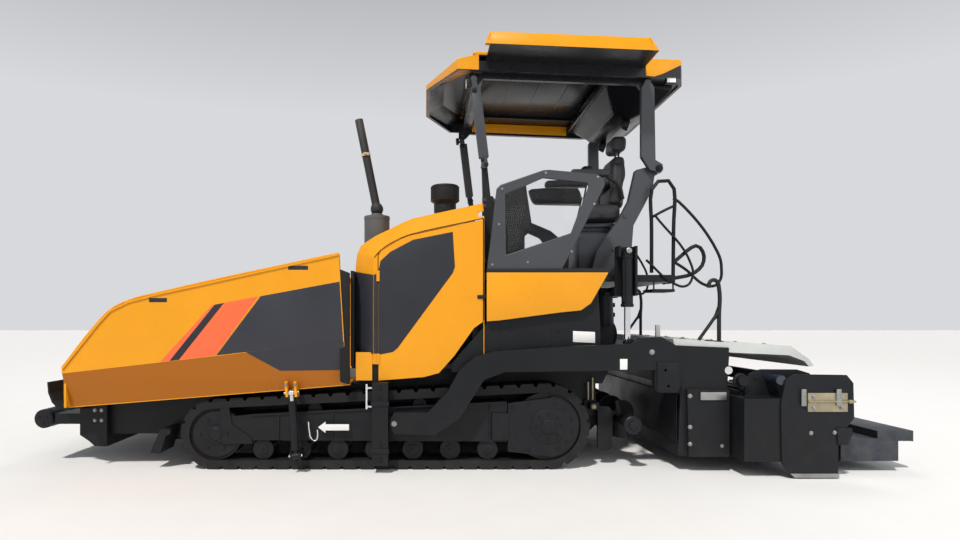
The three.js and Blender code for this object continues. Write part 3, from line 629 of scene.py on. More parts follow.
class PAVER_OT_stage(bpy.types.Operator):
    """Floor, camera, surround and lights"""
    bl_idname = "paver.stage"
    bl_label = "Stage"

    def execute(self, context):
        scene, look = context.scene, context.scene.paver_stage
        bpy.ops.mesh.primitive_plane_add(size=120, location=(0, 0, 0))
        floor = settle(bpy.context.object)
        floor.name = "floor"
        floor.data.materials.append(surface("floor_plain", tuple(look.floor), 0.9, mottle=0.01, bump=0))
        world = bpy.data.worlds.new("surround")
        scene.world = world
        world.use_nodes = True
        tree = world.node_tree
        glow = tree.nodes["Background"]
        way, part, fade = (tree.nodes.new(k) for k in ("ShaderNodeTexCoord", "ShaderNodeSeparateXYZ",
            "ShaderNodeMapRange"))
        glow.inputs[0].default_value = (0.95, 0.965, 1.0, 1)
        for i, value in enumerate((0.30, 0.62, look.horizon, look.sky)):
            fade.inputs[i + 1].default_value = value
        tree.links.new(way.outputs["Generated"], part.inputs[0])
        tree.links.new(part.outputs["Z"], fade.inputs[0])
        tree.links.new(fade.outputs[0], glow.inputs[1])
        scene.view_settings.view_transform = "Standard"
        for name, kind, spot, aim, power, size in (
            ("key", "SUN", (-4, -7.5, 13), (0, 0, 1), look.key, 0.06),
            ("fill", "AREA", (7, -8, 5), (1, 0, 1), 150, 6.0),
            ("back", "AREA", (3, 6, 13), (0, 0, 1.5), 260, 6.0),
        ):
            lamp = bpy.data.lights.new(name, kind)
            lamp.energy = power
            if kind == "SUN":
                lamp.angle = size
                lamp.color = (1.0, 0.965, 0.91)
            else:
                lamp.size = size
            obj = bpy.data.objects.new(name, lamp)
            scene.collection.objects.link(obj)
            obj.location = spot
            obj.rotation_euler = (Vector(aim) - Vector(spot)).to_track_quat("-Z", "Y").to_euler()
        lens = bpy.data.cameras.new("camera")
        lens.sensor_width, lens.lens = 36.0, 23.625
        lens.shift_x, lens.shift_y = 0.0573, 0.05
        lens.clip_end = 400
        eye = bpy.data.objects.new("camera", lens)
        eye.location = (-0.305, -6.5, 1.29)
        eye.rotation_euler = (math.radians(90), 0, 0)
        scene.collection.objects.link(eye)
        scene.camera = eye
        return {"FINISHED"}


# The finish of each node of the frame, with the width of its edge rounding in millimetres.
FRAME_FINISHES = {
    "steel": dict(conveyor_deck=3),
    "black": dict(chassis=3, front_beam=5, exhaust_base=0, bay_floor=3, deck=3, screed_body=6,
        track_frame=4, push_roller=3, hopper_cylinder=2, side_skirt=2, auger=0, tow_arm=6, lift_bracket=4,
        tow_point=4, extension=5, end_gate=3, lift_cylinder=2),
    "rubber": dict(front_apron=2, hopper_rear_wall=3, track=3),
    "orange": dict(hood_cover=8, engine_door=3),
    "engine": dict(engine_block=20),
    "exhaust": dict(exhaust_pipe=0),
    "plastic": dict(air_precleaner=2, dash=12, seat=0),
    "gloss_black": dict(canopy_roof=6, roof_wing=3),
    "light": dict(screed_cover=3),
    "wing": dict(hopper_wing=0),
    "chrome": dict(hopper_rod=0, lift_rod=0),
    "grey": dict(screen_frame=8, rear_leg=7, front_post=6, rear_post=9),
}


class PAVER_OT_frame_finishes(bpy.types.Operator):
    """Finishes on the frame's own nodes"""
    bl_idname = "paver.frame_finishes"
    bl_label = "Frame finishes"

    def execute(self, context):
        looks = {base: (kind, edge) for kind, edges in FRAME_FINISHES.items()
            for base, edge in edges.items()}
        for name in frame["nodes"]:
            dress(name, *looks[name.replace("_left", "").replace("_right", "")])
        return {"FINISHED"}


class PAVER_OT_hopper(bpy.types.Operator):
    """Hopper graphics, slots, pins, conveyor bars and the seal"""
    bl_idname = "paver.hopper"
    bl_label = "Hopper"

    def execute(self, context):
        film = context.scene.paver_sizes.decal * 1000
        face = -1270
        for label, kind, lift, outline in (
            ("wing_band", "red", 1, [(-2504.9, 925.6), (-2073.2, 1397.9), (-1691.4, 1467.7),
                (-2048.3, 977.9)]),
            ("wing_band_stripe", "charcoal", 1.8, [(-2426.1, 933.9), (-2347.2, 943), (-1973.6, 1414.5),
                (-2051.7, 1401.2)]),
            ("wing_panel", "slate", 1, [(-2038.4, 979.5), (-1669.8, 1471), (-1014, 1592.2),
                (-984.1, 1098.2)]),
        ):
            pair(plate(outline, face - film * lift, face + 1, 0.2), label, kind, WING)
        fold = lambda x: 833 + 0.1134 * (x + 3322)
        foot = lambda x: 531 + 0.0804 * (x + 3319)
        low = plate([(-1791, 1006.1), (-1517.9, 846.7), (-965.8, 855), (-984.1, 1098.2)], face - film,
            face + 1, 0)
        pair(leaning(low, lambda x, z: 100 * (fold(x) - z) / (fold(x) - foot(x)) - 1.5), "wing_panel_low",
            "slate", WING)
        pair([block(-2596.2, -2446.8, face - 1.5, face + 1, 1421, 1456, 6),
            block(-1442.3, -1276.3, face - 1.5, face + 1, 1690, 1724, 6)], "wing_slots", "charcoal", WING)
        pins = [shaft((-1483, -1236, 660), (-1357, -1236, 670), 13)]
        pins += studs(-1259, 9, 8, (-1464, 735), (-1388, 735))
        pair(pins, "wing_clevis_pin", "steel", WING)
        pair(shaft((-1435, -1271, 140.4), (-1321, -1271, 149.6), 12), "hopper_foot_pin", "steel")
        seal = plate([(-1012, 760), (-938, 735), (-938, 1668), (-1024, 1700)], -1258, -1180, 3)
        pair(seal, "wing_seal", "rubber", WING)
        pair(block(-934, -907, -1176, -1128, 880, 1690, 3), "rear_wall_flap", "rubber")
        bars = []
        for side in (-1, 1):
            first = plate([(-3105, 471.5), (-3070, 473.5), (-3074, 492), (-3101, 491)],
                min(side * 46, side * 645), max(side * 46, side * 645), 2)
            bars.append(copies(first, [(i * 142, 0, i * 142 * 0.061) for i in range(1, 15)]))
        piece(bars, "conveyor_bars", "steel")
        rim = bent([(-3318, 884), (-3026, 1252), (-2914, 1362), (-2766, 1436), (-2513, 1502),
            (-1024, 1829)], 9, 8, 6, y=-1262)
        pair(rim, "wing_rim", "orange", WING)
        return {"FINISHED"}


class PAVER_OT_front(bpy.types.Operator):
    """Push rollers, bumper bolts and the apron clamp strip"""
    bl_idname = "paver.front"
    bl_label = "Front"

    def execute(self, context):
        x, z = -3701, 392
        drum = [lathe_y(x, a, b, z, [(0, 60), (0.012, 78), (0.03, 84), (0.1, 84), (0.11, 81), (0.13, 81),
            (0.14, 84), (0.86, 84), (0.87, 81), (0.89, 81), (0.9, 84), (0.97, 84), (0.988, 78), (1, 60)],
            48) for a, b in ((-899, -484), (-436, -31))]
        drum += bolt_circle(x, -899, z, 38, (0.5, 2.6, 4.7), 7, 6)
        drum.append(shaft((x, -500, z), (x, -420, z), 32, 1))
        pair(drum, "push_drum", "black", "push_roller_left", replaces=("push_roller_left",))
        bits = [hex_bolt((-3372, y, zz), (-1, 0, 0), 13, 10) for y in (-860, -620, 620, 860)
            for zz in (290, 475)]
        bits += [block(-3392, -3371, -70, -55, 455, 500, 4), block(-3392, -3371, 55, 70, 455, 500, 4)]
        bits += [stud(-3240 + 60 * i, -900, 470 - 90 * j, 11, 8) for i in range(2) for j in range(2)]
        bits += [hex_bolt((-3240 + 60 * i, 900, 470 - 90 * j), (0, 1, 0), 11, 8) for i in range(2)
            for j in range(2)]
        piece(bits, "front_fasteners", "steel")
        strip = [block(-3360, -3320, -1030, 1030, 508.8, 516, 2)]
        strip += [hex_bolt((-3340, y, 516), (0, 0, 1), 9, 7) for y in range(-980, 981, 196)]
        piece(strip, "apron_clamp", "black")
        return {"FINISHED"}


class PAVER_OT_tracks(bpy.types.Operator):
    """Roller caps, idler hub and fork, drive cover and the frame's wear strip"""
    bl_idname = "paver.tracks"
    bl_label = "Tracks"

    def execute(self, context):
        idler_x, idler_z, drive_x, drive_z, roller_z = -2089, 300, 745, 368, 166
        caps = []
        for i in range(7):
            x = -1690 + 320 * i
            caps.append(lathe_y(x, -1102, -1120, roller_z, [(0, 74), (0.3, 74), (0.4, 44), (0.8, 44),
                (1, 36)], 28))
            caps.append(lathe_y(x, -1119, -1125, roller_z, [(0, 16), (1, 13)], 6))
        pair(caps, "roller_caps", "black")
        hub = [lathe_y(idler_x, -1111, -1121, idler_z, [(0, 205), (0.4, 205), (1, 196)], 48),
            lathe_y(idler_x, -1127, -1146, idler_z, [(0, 78), (0.5, 78), (0.6, 58), (1, 50)], 36)]
        hub += bolt_circle(idler_x, -1120, idler_z, 132, [t * math.pi / 3 for t in range(6)], 11, 9)
        pair(hub, "idler_hub", "black")
        cover = [lathe_y(drive_x, -1139, -1150, drive_z, [(0, 150), (0.5, 150), (1, 138)], 48),
            lathe_y(drive_x, -1149, -1166, drive_z, [(0, 62), (0.6, 62), (1, 50)], 36)]
        cover += bolt_circle(drive_x, -1140, drive_z, 205, (-1.2, -0.7, -0.2, 0.3, 0.8, 1.3), 10, 8)
        cover += bolt_circle(drive_x, -1150, drive_z, 108, [t * math.pi / 4 for t in range(8)], 8, 7)
        cover += studs(-1140, 10, 8, (440, 530), (440, 190), (580, 560), (580, 165))
        cover.append(block(264, 408.3, -1152, -1127, 253, 483, 6))
        pair(cover, "drive_cover_bolts", "black")
        strip = plate([(-1793.9, 454.5), (375.6, 565.1), (375.6, 580.4), (-1793.9, 469.8)], -1139, -1124, 1)
        ribs = [block(x, x + 16, -1136, -1125, 262, 452 + (x + 1794) * 0.051, 2)
            for x in (-1560, -1100, -640, -180, 240)]
        pair([strip] + ribs, "track_frame_strip", "black")
        bracket = [plate([(-2050.8, 574.7), (-1982.6, 574.7), (-1948.6, 387.3), (-1778.2, 268.1),
            (-1778.2, 217), (-2033.7, 217)], -1136, -1124, 3), stud(-1990, -1136, 300, 12, 9)]
        pair(bracket, "idler_fork", "black")
        return {"FINISHED"}


class PAVER_OT_hood(bpy.types.Operator):
    """Hood panels, graphics, seams, latch, stack and pre-cleaner ribs"""
    bl_idname = "paver.hood"
    bl_label = "Hood"

    def execute(self, context):
        pair(sheet_plate([(-909, -1055, 990), (-745, -1182, 990), (-745, -1182, 1655), (-909, -1055, 1690)],
            2), "hood_corner_panel", "charcoal")
        door = plate([(-696, 1696), (-680.4, 1770.8), (-600.2, 1846.7), (-406.2, 1949.6), (-70.5, 2017.1),
            (-52, 1720.2), (-70.5, 1669.6), (-535.3, 1037), (-574.9, 1003.2), (-696, 980)], -1187.6,
            -1185.5, 0.4)
        pair(door, "door_panel", "charcoal", "engine_door_left")
        side = plate([(-738, 990), (-698.5, 990), (-698.5, 1668), (-738, 1655)], -1182.2, -1179, 0.4)
        pair(side, "hood_side_panel", "charcoal")
        latch = [block(136, 214, -1196, -1186, 1452, 1484, 5), block(146, 200, -1203, -1195, 1460, 1477, 4)]
        pair(latch, "door_latch", "plastic", "engine_door_left")
        seam = bent([(-735, 1800), (-677, 1864), (-508, 1966), (-432, 1995), (190, 2133)], 3.4, 6, 4,
            y=-1181)
        pair(seam, "hood_seam", "rubber")
        groove = block(186, 194, -1181.5, -1177, 1270, 2128, 1)
        pair(groove, "hood_rear_seam", "rubber")
        stack = [lathe_z(-800, 0, 1960, 2336, [(0, 130), (0.9, 130), (0.905, 133), (0.985, 133), (1, 128)],
            48)]
        stack += [lathe_z(-800, 0, 2335, 2362, [(0, 66), (0.7, 66), (1, 60)], 36)]
        piece(stack, "stack_base", "engine")
        top, foot = Vector((-986.8, 0, 3334.4)), Vector((-800, 0, 2408))
        up = (top - foot).normalized()
        at = lambda d: foot + up * d
        outer = turned(at(30), top, [(0, 42.2), (0.3, 42.2), (0.99, 42.2), (1, 40)], 40)
        only(outer)
        with editing("DESELECT", outward=False):
            bpy.ops.mesh.select_mode(type="FACE")
        for f in outer.data.polygons:
            f.select = len(f.vertices) > 8 and f.normal.dot(up) > 0.9
        bpy.ops.object.mode_set(mode="EDIT")
        bpy.ops.mesh.inset(thickness=0.004)
        bpy.ops.mesh.extrude_region_move(TRANSFORM_OT_translate={"value": tuple(-up * 0.5)})
        bpy.ops.object.mode_set(mode="OBJECT")
        ball = turned(at(-60), at(64), [(0, 18), (0.05, 32), (0.16, 50), (0.32, 62), (0.48, 66), (0.64, 64),
            (0.8, 56), (0.93, 46), (1, 42.3)], 40)
        piece([outer, ball], "stack_pipe", "exhaust", "exhaust_pipe", replaces=("exhaust_pipe",))
        clamp = [turned(at(560), at(590), [(0, 43), (0.1, 48), (0.9, 48), (1, 43)], 36),
            block(-930, -905, -62, -40, 2965, 2985, 3)]
        piece(clamp, "stack_strap", "cloth_tie", "exhaust_pipe")
        rings = [lathe_z(-105, -200, z, z + 14, [(0, 139), (0.25, 143.5), (0.75, 143.5), (1, 139)], 56)
            for z in (2452, 2583)]
        rings.append(around(block(34, 37.5, -207, -193, 2464, 2586, 1), (-105, -200, 0), (0, 0, 1), 28))
        rings.append(lathe_z(-105, -200, 2596, 2614, [(0, 139), (0.5, 136), (0.8, 112), (1, 60)], 56))
        rings.append(lathe_z(-105, -200, 2330, 2434, [(0, 107), (0.3, 111), (0.9, 111), (1, 107)], 48))
        piece(rings, "precleaner_rings", "plastic")
        return {"FINISHED"}


class PAVER_OT_platform(bpy.types.Operator):
    """Side panels, screens, tread plates, console and seats"""
    bl_idname = "paver.platform"
    bl_label = "Operator platform"

    def execute(self, context):
        panel = plate([(214, 1262), (326, 1270), (833, 1337), (1003, 1354), (1088, 1414), (1230, 1664),
            (1230, 1672), (214, 1672)], -1219, -1194.8, 3)
        pair(panel, "side_panel", "orange")
        band = plate([(214, 1673), (1236, 1673), (1222, 1706), (217, 1706)], -1214, -1196.5, 2)
        pair(band, "deck_band", "plastic")
        pair(plate([(948.5, 1179.9), (1134.9, 1171.4), (1134.9, 1078.3), (948.5, 1086.7)], -1167, -1163, 1),
            "blank_plate", "white")
        skirt_bolts = studs(-1164, 9, 6, (20, 870), (420, 870), (820, 870), (1140, 870), (1140, 1180),
            (420, 1180), (820, 1180))
        skirt_bolts += [block(330, 334, -1166, -1163.5, 840, 1240, 1),
            block(760, 764, -1166, -1163.5, 840, 1240, 1)]
        pair(skirt_bolts, "skirt_fasteners", "black")
        piece(block(212, 1236, -1160, 1160, 1670.2, 1673.5, 1), "deck_plate_front", "tread")
        piece(block(1244, 1896, -905, 905, 1670.2, 1673.5, 1), "deck_plate_rear", "tread")
        glass = plate([(377, 1819), (928, 2005), (1077, 2400), (1061, 2432), (690, 2472), (369, 2331)],
            -1180, -1175, 0.5)
        pair(glass, "screen_glass", "clear")
        bolts = studs(-1195, 7, 5, (262, 1740), (318, 2080), (344, 2378), (712, 2512), (1150, 2478),
            (1120, 2250), (930, 1850), (560, 1760))
        pair(bolts, "screen_bolts", "steel")
        # console
        pod = [plate([(398, 2085), (640, 2085), (652, 2120), (606, 2488), (560, 2500), (402, 2440)], -905,
            -555, 14, 3)]
        pair(pod, "console_pod", "plastic")
        show = [sheet_plate([(645, -850, 2180), (645, -610, 2180), (616, -610, 2420), (616, -850, 2420)], 3)]
        pair(show, "console_display", "screen")
        knobs = [lathe_z(540, -730, 2495, 2524, [(0, 40), (0.5, 34), (1, 22)], 24),
            lathe_z(470, -650, 2462, 2490, [(0, 22), (0.6, 20), (1, 12)], 20)]
        pair(knobs, "console_knobs", "grip")
        # seats
        base = [cushion(1100, 1492, -752, -368, 2178, 2286, 10, 0.08, 34)] + [cushion(1124, 1470, y0,
            y0 + 60, 2196, 2318, 6, 0.05, 22) for y0 in (-792, -388)]
        back = [cushion(1392, 1504, -730, -390, 2280, 2500, 8, 0.06, 30, lean=12),
            cushion(1412, 1516, -730, -390, 2512, 2790, 8, 0.06, 34, lean=14)]
        back += [cushion(1370, 1484, y0, y0 + 58, 2326, 2706, 6, 0.05, 22, lean=34) for y0 in (-780, -398)]
        head = [cushion(1420, 1552, -692, -440, 2832, 2974, 8, 0.08, 38, lean=10)]

        def covered(shape, label):
            for side, o in (("left", shape), ("right", other_side(shape))):
                piece(o, f"{label}_{side}", "vinyl", "root")

        for label, parts in (("seat_cushion", base), ("seat_back", back), ("seat_headrest", head)):
            covered(stuffed(fuse(parts)), label)
        piping = [bent([(1104, 2236), (1300, 2240), (1486, 2236)], 3.2, 8, 8, y=y) for y in (-754, -366)]
        piping += [bent([(1296, -744, 2296), (1296, -560, 2303), (1296, -376, 2296)], 3, 8, 8)]
        pair(piping, "seat_piping", "grip")
        frame_bits = [shaft((1500, -620, 2770), (1504, -620, 2850), 8),
            shaft((1500, -510, 2770), (1504, -510, 2850), 8)]
        for y in (-838, -292):
            frame_bits.append(bent([(1480, y + 14 * (1 if y < -500 else -1), 2360),
                (1440, y + 8 * (1 if y < -500 else -1), 2480), (1330, y, 2560)], 15, 8, 6))
        pair(frame_bits, "seat_brackets", "plastic")
        rests = [cushion(1010, 1350, y, y + 64, 2560, 2626, 5, 0.05, 20) for y in (-872, -326)]
        covered(fuse(rests), "seat_armrest")
        box = plate([(1092, 1672), (1438, 1672), (1438, 2030), (1412, 2056), (1108, 2056), (1092, 2030)],
            -758, -362, 12, 3)
        rails = [block(1110, 1480, -740, -706, 2124, 2156, 4), block(1110, 1480, -414, -380, 2124, 2156, 4)]
        bellows = [block(1126 + i % 2 * 10, 1420 - i % 2 * 10, -716 + i % 2 * 10, -404 - i % 2 * 10,
            2050 + i * 19, 2072 + i * 19, 4) for i in range(4)]
        pair([box] + rails + bellows, "seat_pedestal", "slate", "root", ("seat_left",))
        return {"FINISHED"}


class PAVER_OT_canopy(bpy.types.Operator):
    """Roof and visor skins, wing lips, liner, lamps and post fittings"""
    bl_idname = "paver.canopy"
    bl_label = "Canopy"

    def execute(self, context):
        slope = math.tan(math.radians(2.4))

        def tilt(obj):
            for v in obj.data.vertices:
                v.co.z -= slope * (v.co.x + 0.290)
            return obj

        def ring(inset):
            half = [(118, 950 - inset), (1950 - inset, 950 - inset), (2025 - inset, 780 - inset / 2)]
            return [(x, -y) for x, y in half] + [(x, y) for x, y in reversed(half)]

        def visor(grow, low):
            points = []
            for s in (-1, 1):
                for x, y, z in ((-290 - grow, 400 + grow * 0.5, low),
                    (-290 - grow, 400 + grow * 0.5, 3536 + grow), (-15 - grow * 0.5, 950 + grow, low),
                    (-15 - grow * 0.5, 950 + grow, 3582 + grow), (170, 950 + grow, low),
                    (170, 950 + grow, 3630 + grow), (170, 880 + grow * 0.4, 3660 + grow),
                    (-110, 300, 3618 + grow)):
                    points.append((x, y * s, z))
            return points

        front = carved(hulled(visor(4, 3496)), hulled([(p[0] + (60 if p[0] > 100 else 0), p[1], p[2])
            for p in visor(-1, 3400)]))
        piece(tilt(soften(front, 0.003, 2)), "roof_visor_skin", "orange", ROOF)
        skin = plate(ring(0), 3622, 3664, 16, 4, plane="XY")
        piece(tilt(skin), "roof_skin", "orange", ROOF)
        wedge = plate([(1640, 3505), (1713, 3500), (1796, 3530), (1952, 3612), (1952, 3645), (1640, 3645)],
            -955, -948, 2)
        pair(tilt(wedge), "roof_rear_trim", "orange", ROOF)
        lip = tilt(sheet_plate([(192, -1301, 3577), (1631, -1301, 3577), (1561, -1281, 3686),
            (231, -1281, 3686)], 4, 2))
        pair(lip, "roof_wing_lip", "orange", "roof_wing_left")
        ends = [tilt(plate([(193, 3577), (236, 3577), (236, 3684), (231, 3684)], -1300, -1262, 2)),
            tilt(plate([(1590, 3577), (1631, 3577), (1561, 3684), (1555, 3684)], -1300, -1262, 2))]
        pair(ends, "roof_wing_ends", "orange", "roof_wing_left")
        liner = [block(236, 1336, -598, 598, 3600, 3612, 4)] + [block(x, x + 26, -598, 598, 3597, 3603, 2)
            for x in (520, 800, 1080)]
        piece(tilt(fuse(liner)), "roof_liner_panel", "liner", ROOF)
        edges = [block(228, 238, -808, 808, 3500, 3572, 2), block(1334, 1344, -808, 808, 3500, 3572, 2)]
        edges += [block(236, 1336, s * 811 - 3, s * 811 + 3, 3468, 3572, 1) for s in (-1, 1)]
        piece(tilt(fuse(edges)), "roof_recess_walls", "liner", ROOF)
        facing = [block(240, 1332, s * 806 - 2, s * 806 + 2, 3470, 3572, 1) for s in (-1, 1)]
        piece(tilt(fuse(facing)), "roof_recess_facing", "orange", ROOF)
        bowl = hulled([(x, s * y, z) for s in (-1, 1) for x, y,
            z in ((1346, 764, 3512), (1944, 793, 3512), (1938, 784, 3455), (1843, 604, 3344),
            (1664, 454, 3275), (1498, 454, 3315))], 24, 4)
        piece(tilt(bowl), "roof_bowl", "liner", ROOF)
        post_caps = block(120, 196, -940, -860, 3470, 3500, 6)
        pair(tilt(post_caps), "roof_post_sockets", "plastic", ROOF)
        lamps, lenses = [], []
        for y in (-400, 400):
            lamps += [turned((1590, y, 3170), (1660, y, 3150), [(0, 20), (0.25, 40), (0.8, 48), (1, 50)],
                28), block(1612, 1636, y - 12, y + 12, 3165, 3205, 3)]
            lenses.append(turned((1659, y, 3150.3), (1664, y, 3148.9), [(0, 44), (1, 38)], 28))
        for side in (-1, 1):
            lamps.append(block(1822, 1912, side * 926 - 22, side * 926 + 22, 3360, 3412, 6))
            lenses.append(block(1829, 1905, side * 949 - 2, side * 949 + 2, 3366, 3406, 2))
        piece(lamps, "roof_lamps", "plastic", ROOF)
        piece(lenses, "roof_lamp_lenses", "lamp", ROOF)
        brackets = [block(106, 158, -932, -868, 3280, 3330, 6), stud(132, -932, 3305, 12, 9),
            stud(206, -925, 2690, 11, 8), stud(236, -925, 2650, 14, 9)]
        pair(brackets, "front_post_fittings", "plastic", "front_posts")
        pair(plate([(175, 2705), (261, 2716), (186, 3335), (100, 3324)], -930, -871, 8),
            "front_post_sleeve", "grey", "front_posts")
        lamp = [block(60, 96, -948, -884, 3330, 3400, 8), block(90, 112, -930, -905, 3350, 3372, 2)]
        pair(lamp, "post_lamp", "plastic", "front_posts")
        pair(plate([(-946, 3334), (-886, 3334), (-886, 3396), (-946, 3396)], 56, 61, 2, plane="YZ"),
            "post_lamp_lens", "lamp", "front_posts")
        pivots = [lathe_y(1766, -924, -942, 2615, [(0, 30), (0.6, 30), (1, 24)], 28),
            stud(1766, -941, 2615, 13, 9)]
        pair(pivots, "rear_post_pivot", "black", "rear_posts")
        feet = studs(-868, 12, 9, (228, 2345), (318, 2340), (228, 2290), (270, 1720), (230, 1800))
        pair(feet, "pillar_bolts", "grey")
        legs = studs(-868, 13, 9, (1230, 1715), (1300, 1720), (1380, 1900), (1480, 2200))
        pair(legs, "leg_bolts", "grey")
        return {"FINISHED"}


class PAVER_OT_rear(bpy.types.Operator):
    """Lift cylinder fittings, service panel, valves, lamps, step, rails and auger ends"""
    bl_idname = "paver.rear"
    bl_label = "Rear"

    def execute(self, context):
        caps = [lathe_y(1430, -1142, -1156, 1865, [(0, 24), (0.7, 24), (1, 18)], 28),
            stud(1430, -1155, 1865, 11, 8)]
        pair(caps, "lift_top_pin", "steel", "lift_cylinder_left")
        gland = [lathe_z(1430, -1095, 1384.5, 1412, [(0, 50), (0.1, 54), (0.9, 54), (1, 50)], 32),
            lathe_z(1430, -1095, 1800, 1822, [(0, 49), (0.1, 53), (0.9, 53), (1, 49)], 32),
            shaft((1386, -1140, 1780), (1386, -1140, 1430), 8),
            shaft((1386, -1140, 1430), (1400, -1115, 1430), 8),
            shaft((1386, -1140, 1780), (1400, -1115, 1780), 8)]
        pair(gland, "lift_cylinder_bands", "black", "lift_cylinder_left")
        pair(lathe_y(1430, -1066, -1052, 1075, [(0, 22), (0.7, 22), (1, 16)], 28), "lift_eye_cap", "steel",
            "lift_rod_left")
        lamps = [block(1896, 1920, -860, -740, 1600, 1660, 8), block(1896, 1920, -700, -640, 1600, 1660, 8)]
        pair(lamps, "rear_lamp_housing", "plastic")
        pair(block(1918, 1926, -850, -750, 1608, 1652, 4), "rear_lamp_lens", "amber")
        step = [block(1700, 1900, -944, -700, 1520, 1546, 4), block(1710, 1722, -940, -928, 1546, 1612, 2),
            block(1880, 1892, -940, -928, 1546, 1612, 2)]
        pair(step, "rear_step", "black")
        plates = [block(1228, 1236, -1000, 1000, 1180, 1560, 4),
            block(1234, 1239, -700, -100, 1220, 1520, 2), block(1234, 1239, 100, 700, 1220, 1520, 2)]
        piece(plates, "rear_service_panel", "black")
        valves = [block(1239, 1420, -720, -420, 1250, 1470, 6),
            block(1420, 1450, -690, -640, 1300, 1340, 6), block(1420, 1450, -600, -550, 1300, 1340, 6),
            block(1420, 1450, -690, -550, 1390, 1430, 6), lathe_z(1300, -860, 1220, 1520,
            [(0, 60), (0.1, 74), (0.9, 74), (1, 50)], 32)]
        for n in range(5):
            y = -700 + n * 62
            valves.append(bent([(1400, y, 1260), (1440 + n * 14, y, 1200), (1440 + n * 14, y + 20, 1060),
                (1380, y + 30, 980), (1250, y + 30, 960)], 15, 10, 8))
        pair(valves, "rear_valve_block", "black")
        grabs = bent([(1700, 2180), (1790, 2230), (1893, 2280)], 12, 8, 6, y=-926)
        pair(grabs, "rear_rail_brace", "black")
        hoops = [bent([(1892, 2350), (1950, 2310), (2280, 1880), (2318, 1740), (2290, 1600), (2220, 1572),
            (1980, 1735), (1892, 1790)], 13, 10, 8, y=-925),
            bent([(1712, 2200), (2036, 1760), (2044, 1640), (1990, 1572), (1890, 1590), (1640, 1800)], 11,
            10, 8, y=-960)]
        pair(hoops, "ladder_hoops", "black")
        hubs = [lathe_y(1440, -1204, -1222, 390, [(0, 70), (0.1, 76), (0.6, 76), (1, 66)], 40),
            lathe_y(1440, -1221, -1236, 390, [(0, 34), (0.8, 34), (1, 28)], 28)]
        pair(hubs, "auger_end", "black", "auger_left")
        plates = plate([(1212, 510), (1318, 510), (1345, 470), (1345, 160), (1318, 125), (1236, 125),
            (1212, 160)], -963, -925, 6)
        pair(plates, "auger_bearer", "black")
        hang = [shaft((1190, -880, 560), (1190, -880, 760), 9),
            shaft((1150, -880, 560), (1150, -880, 720), 9), stud(1180, -961, 510, 14, 9)]
        pair(hang, "auger_hanger_rods", "zinc")
        return {"FINISHED"}


class PAVER_OT_tow_arms(bpy.types.Operator):
    """Pins, stiffeners, plates and the depth pointer on the tow arms"""
    bl_idname = "paver.tow_arms"
    bl_label = "Tow arms"

    def execute(self, context):
        face = -1290
        bolts = [stud(-560, face, 415, 16, 11), *studs(face, 14, 10, (1679.8, 860), (1704.6, 727.7)),
            stud(1572.3, face, 1008.8, 16, 11)]
        pair(bolts, "arm_bolts", "steel", SCREED)
        bracket = plate([(1613.6, 926.1), (1791.4, 926.1), (1791.4, 686.3), (1737.7, 669.8),
            (1613.6, 686.3)], face - 12, face + 2, 4)
        pair(bracket, "arm_end_bracket", "black", SCREED)
        upright = plate([(1608.6, 1232.1), (1643.4, 1232.1), (1646.7, 1124.6), (1608.6, 1124.6)], face + 10,
            face + 34, 3)
        pair(upright, "arm_upright", "steel", SCREED)
        pair(block(1307.6, 1368.8, face - 1.6, face + 1, 863.3, 950.9, 0.5), "arm_blank_label", "white",
            SCREED)
        sign = [plate([(-1208.6, 367), (-1145.2, 415.2), (-1145.2, 392.4), (-946.8, 392.4), (-946.8, 340),
            (-1145.2, 340), (-1145.2, 318.9)], -1180, -1174, 1)]
        pair(sign, "arrow_plate", "white")
        post = [block(-1124.1, -972.1, -1176, -1124, 344.2, 386.4, 2)]
        pair(post, "arrow_plate_bracket", "black")
        hook = bent([(-1289.1, 413.4), (-1280.8, 330.7), (-1264.3, 272.8), (-1231.2, 256.3),
            (-1211.4, 297.6), (-1214.7, 347.2)], 7, 8, 6, y=-1180)
        pair(hook, "chrome_hook", "chrome")
        tower = [stud(-677, face, z, 15, 10) for z in (120, 250, 640, 715)]
        tower += [block(-752, -602, face - 10, face + 2, 560, 600, 3),
            block(-752, -602, face - 10, face + 2, 170, 210, 3)]
        pair(tower, "tow_point_fittings", "black")
        rods = [shaft((-790, -1250, 740), (-790, -1250, 530), 12),
            block(-800, -740, -1262, -1238, 700, 716, 3), block(-800, -740, -1262, -1238, 545, 561, 3)]
        pair(rods, "depth_rod", "chrome")
        return {"FINISHED"}


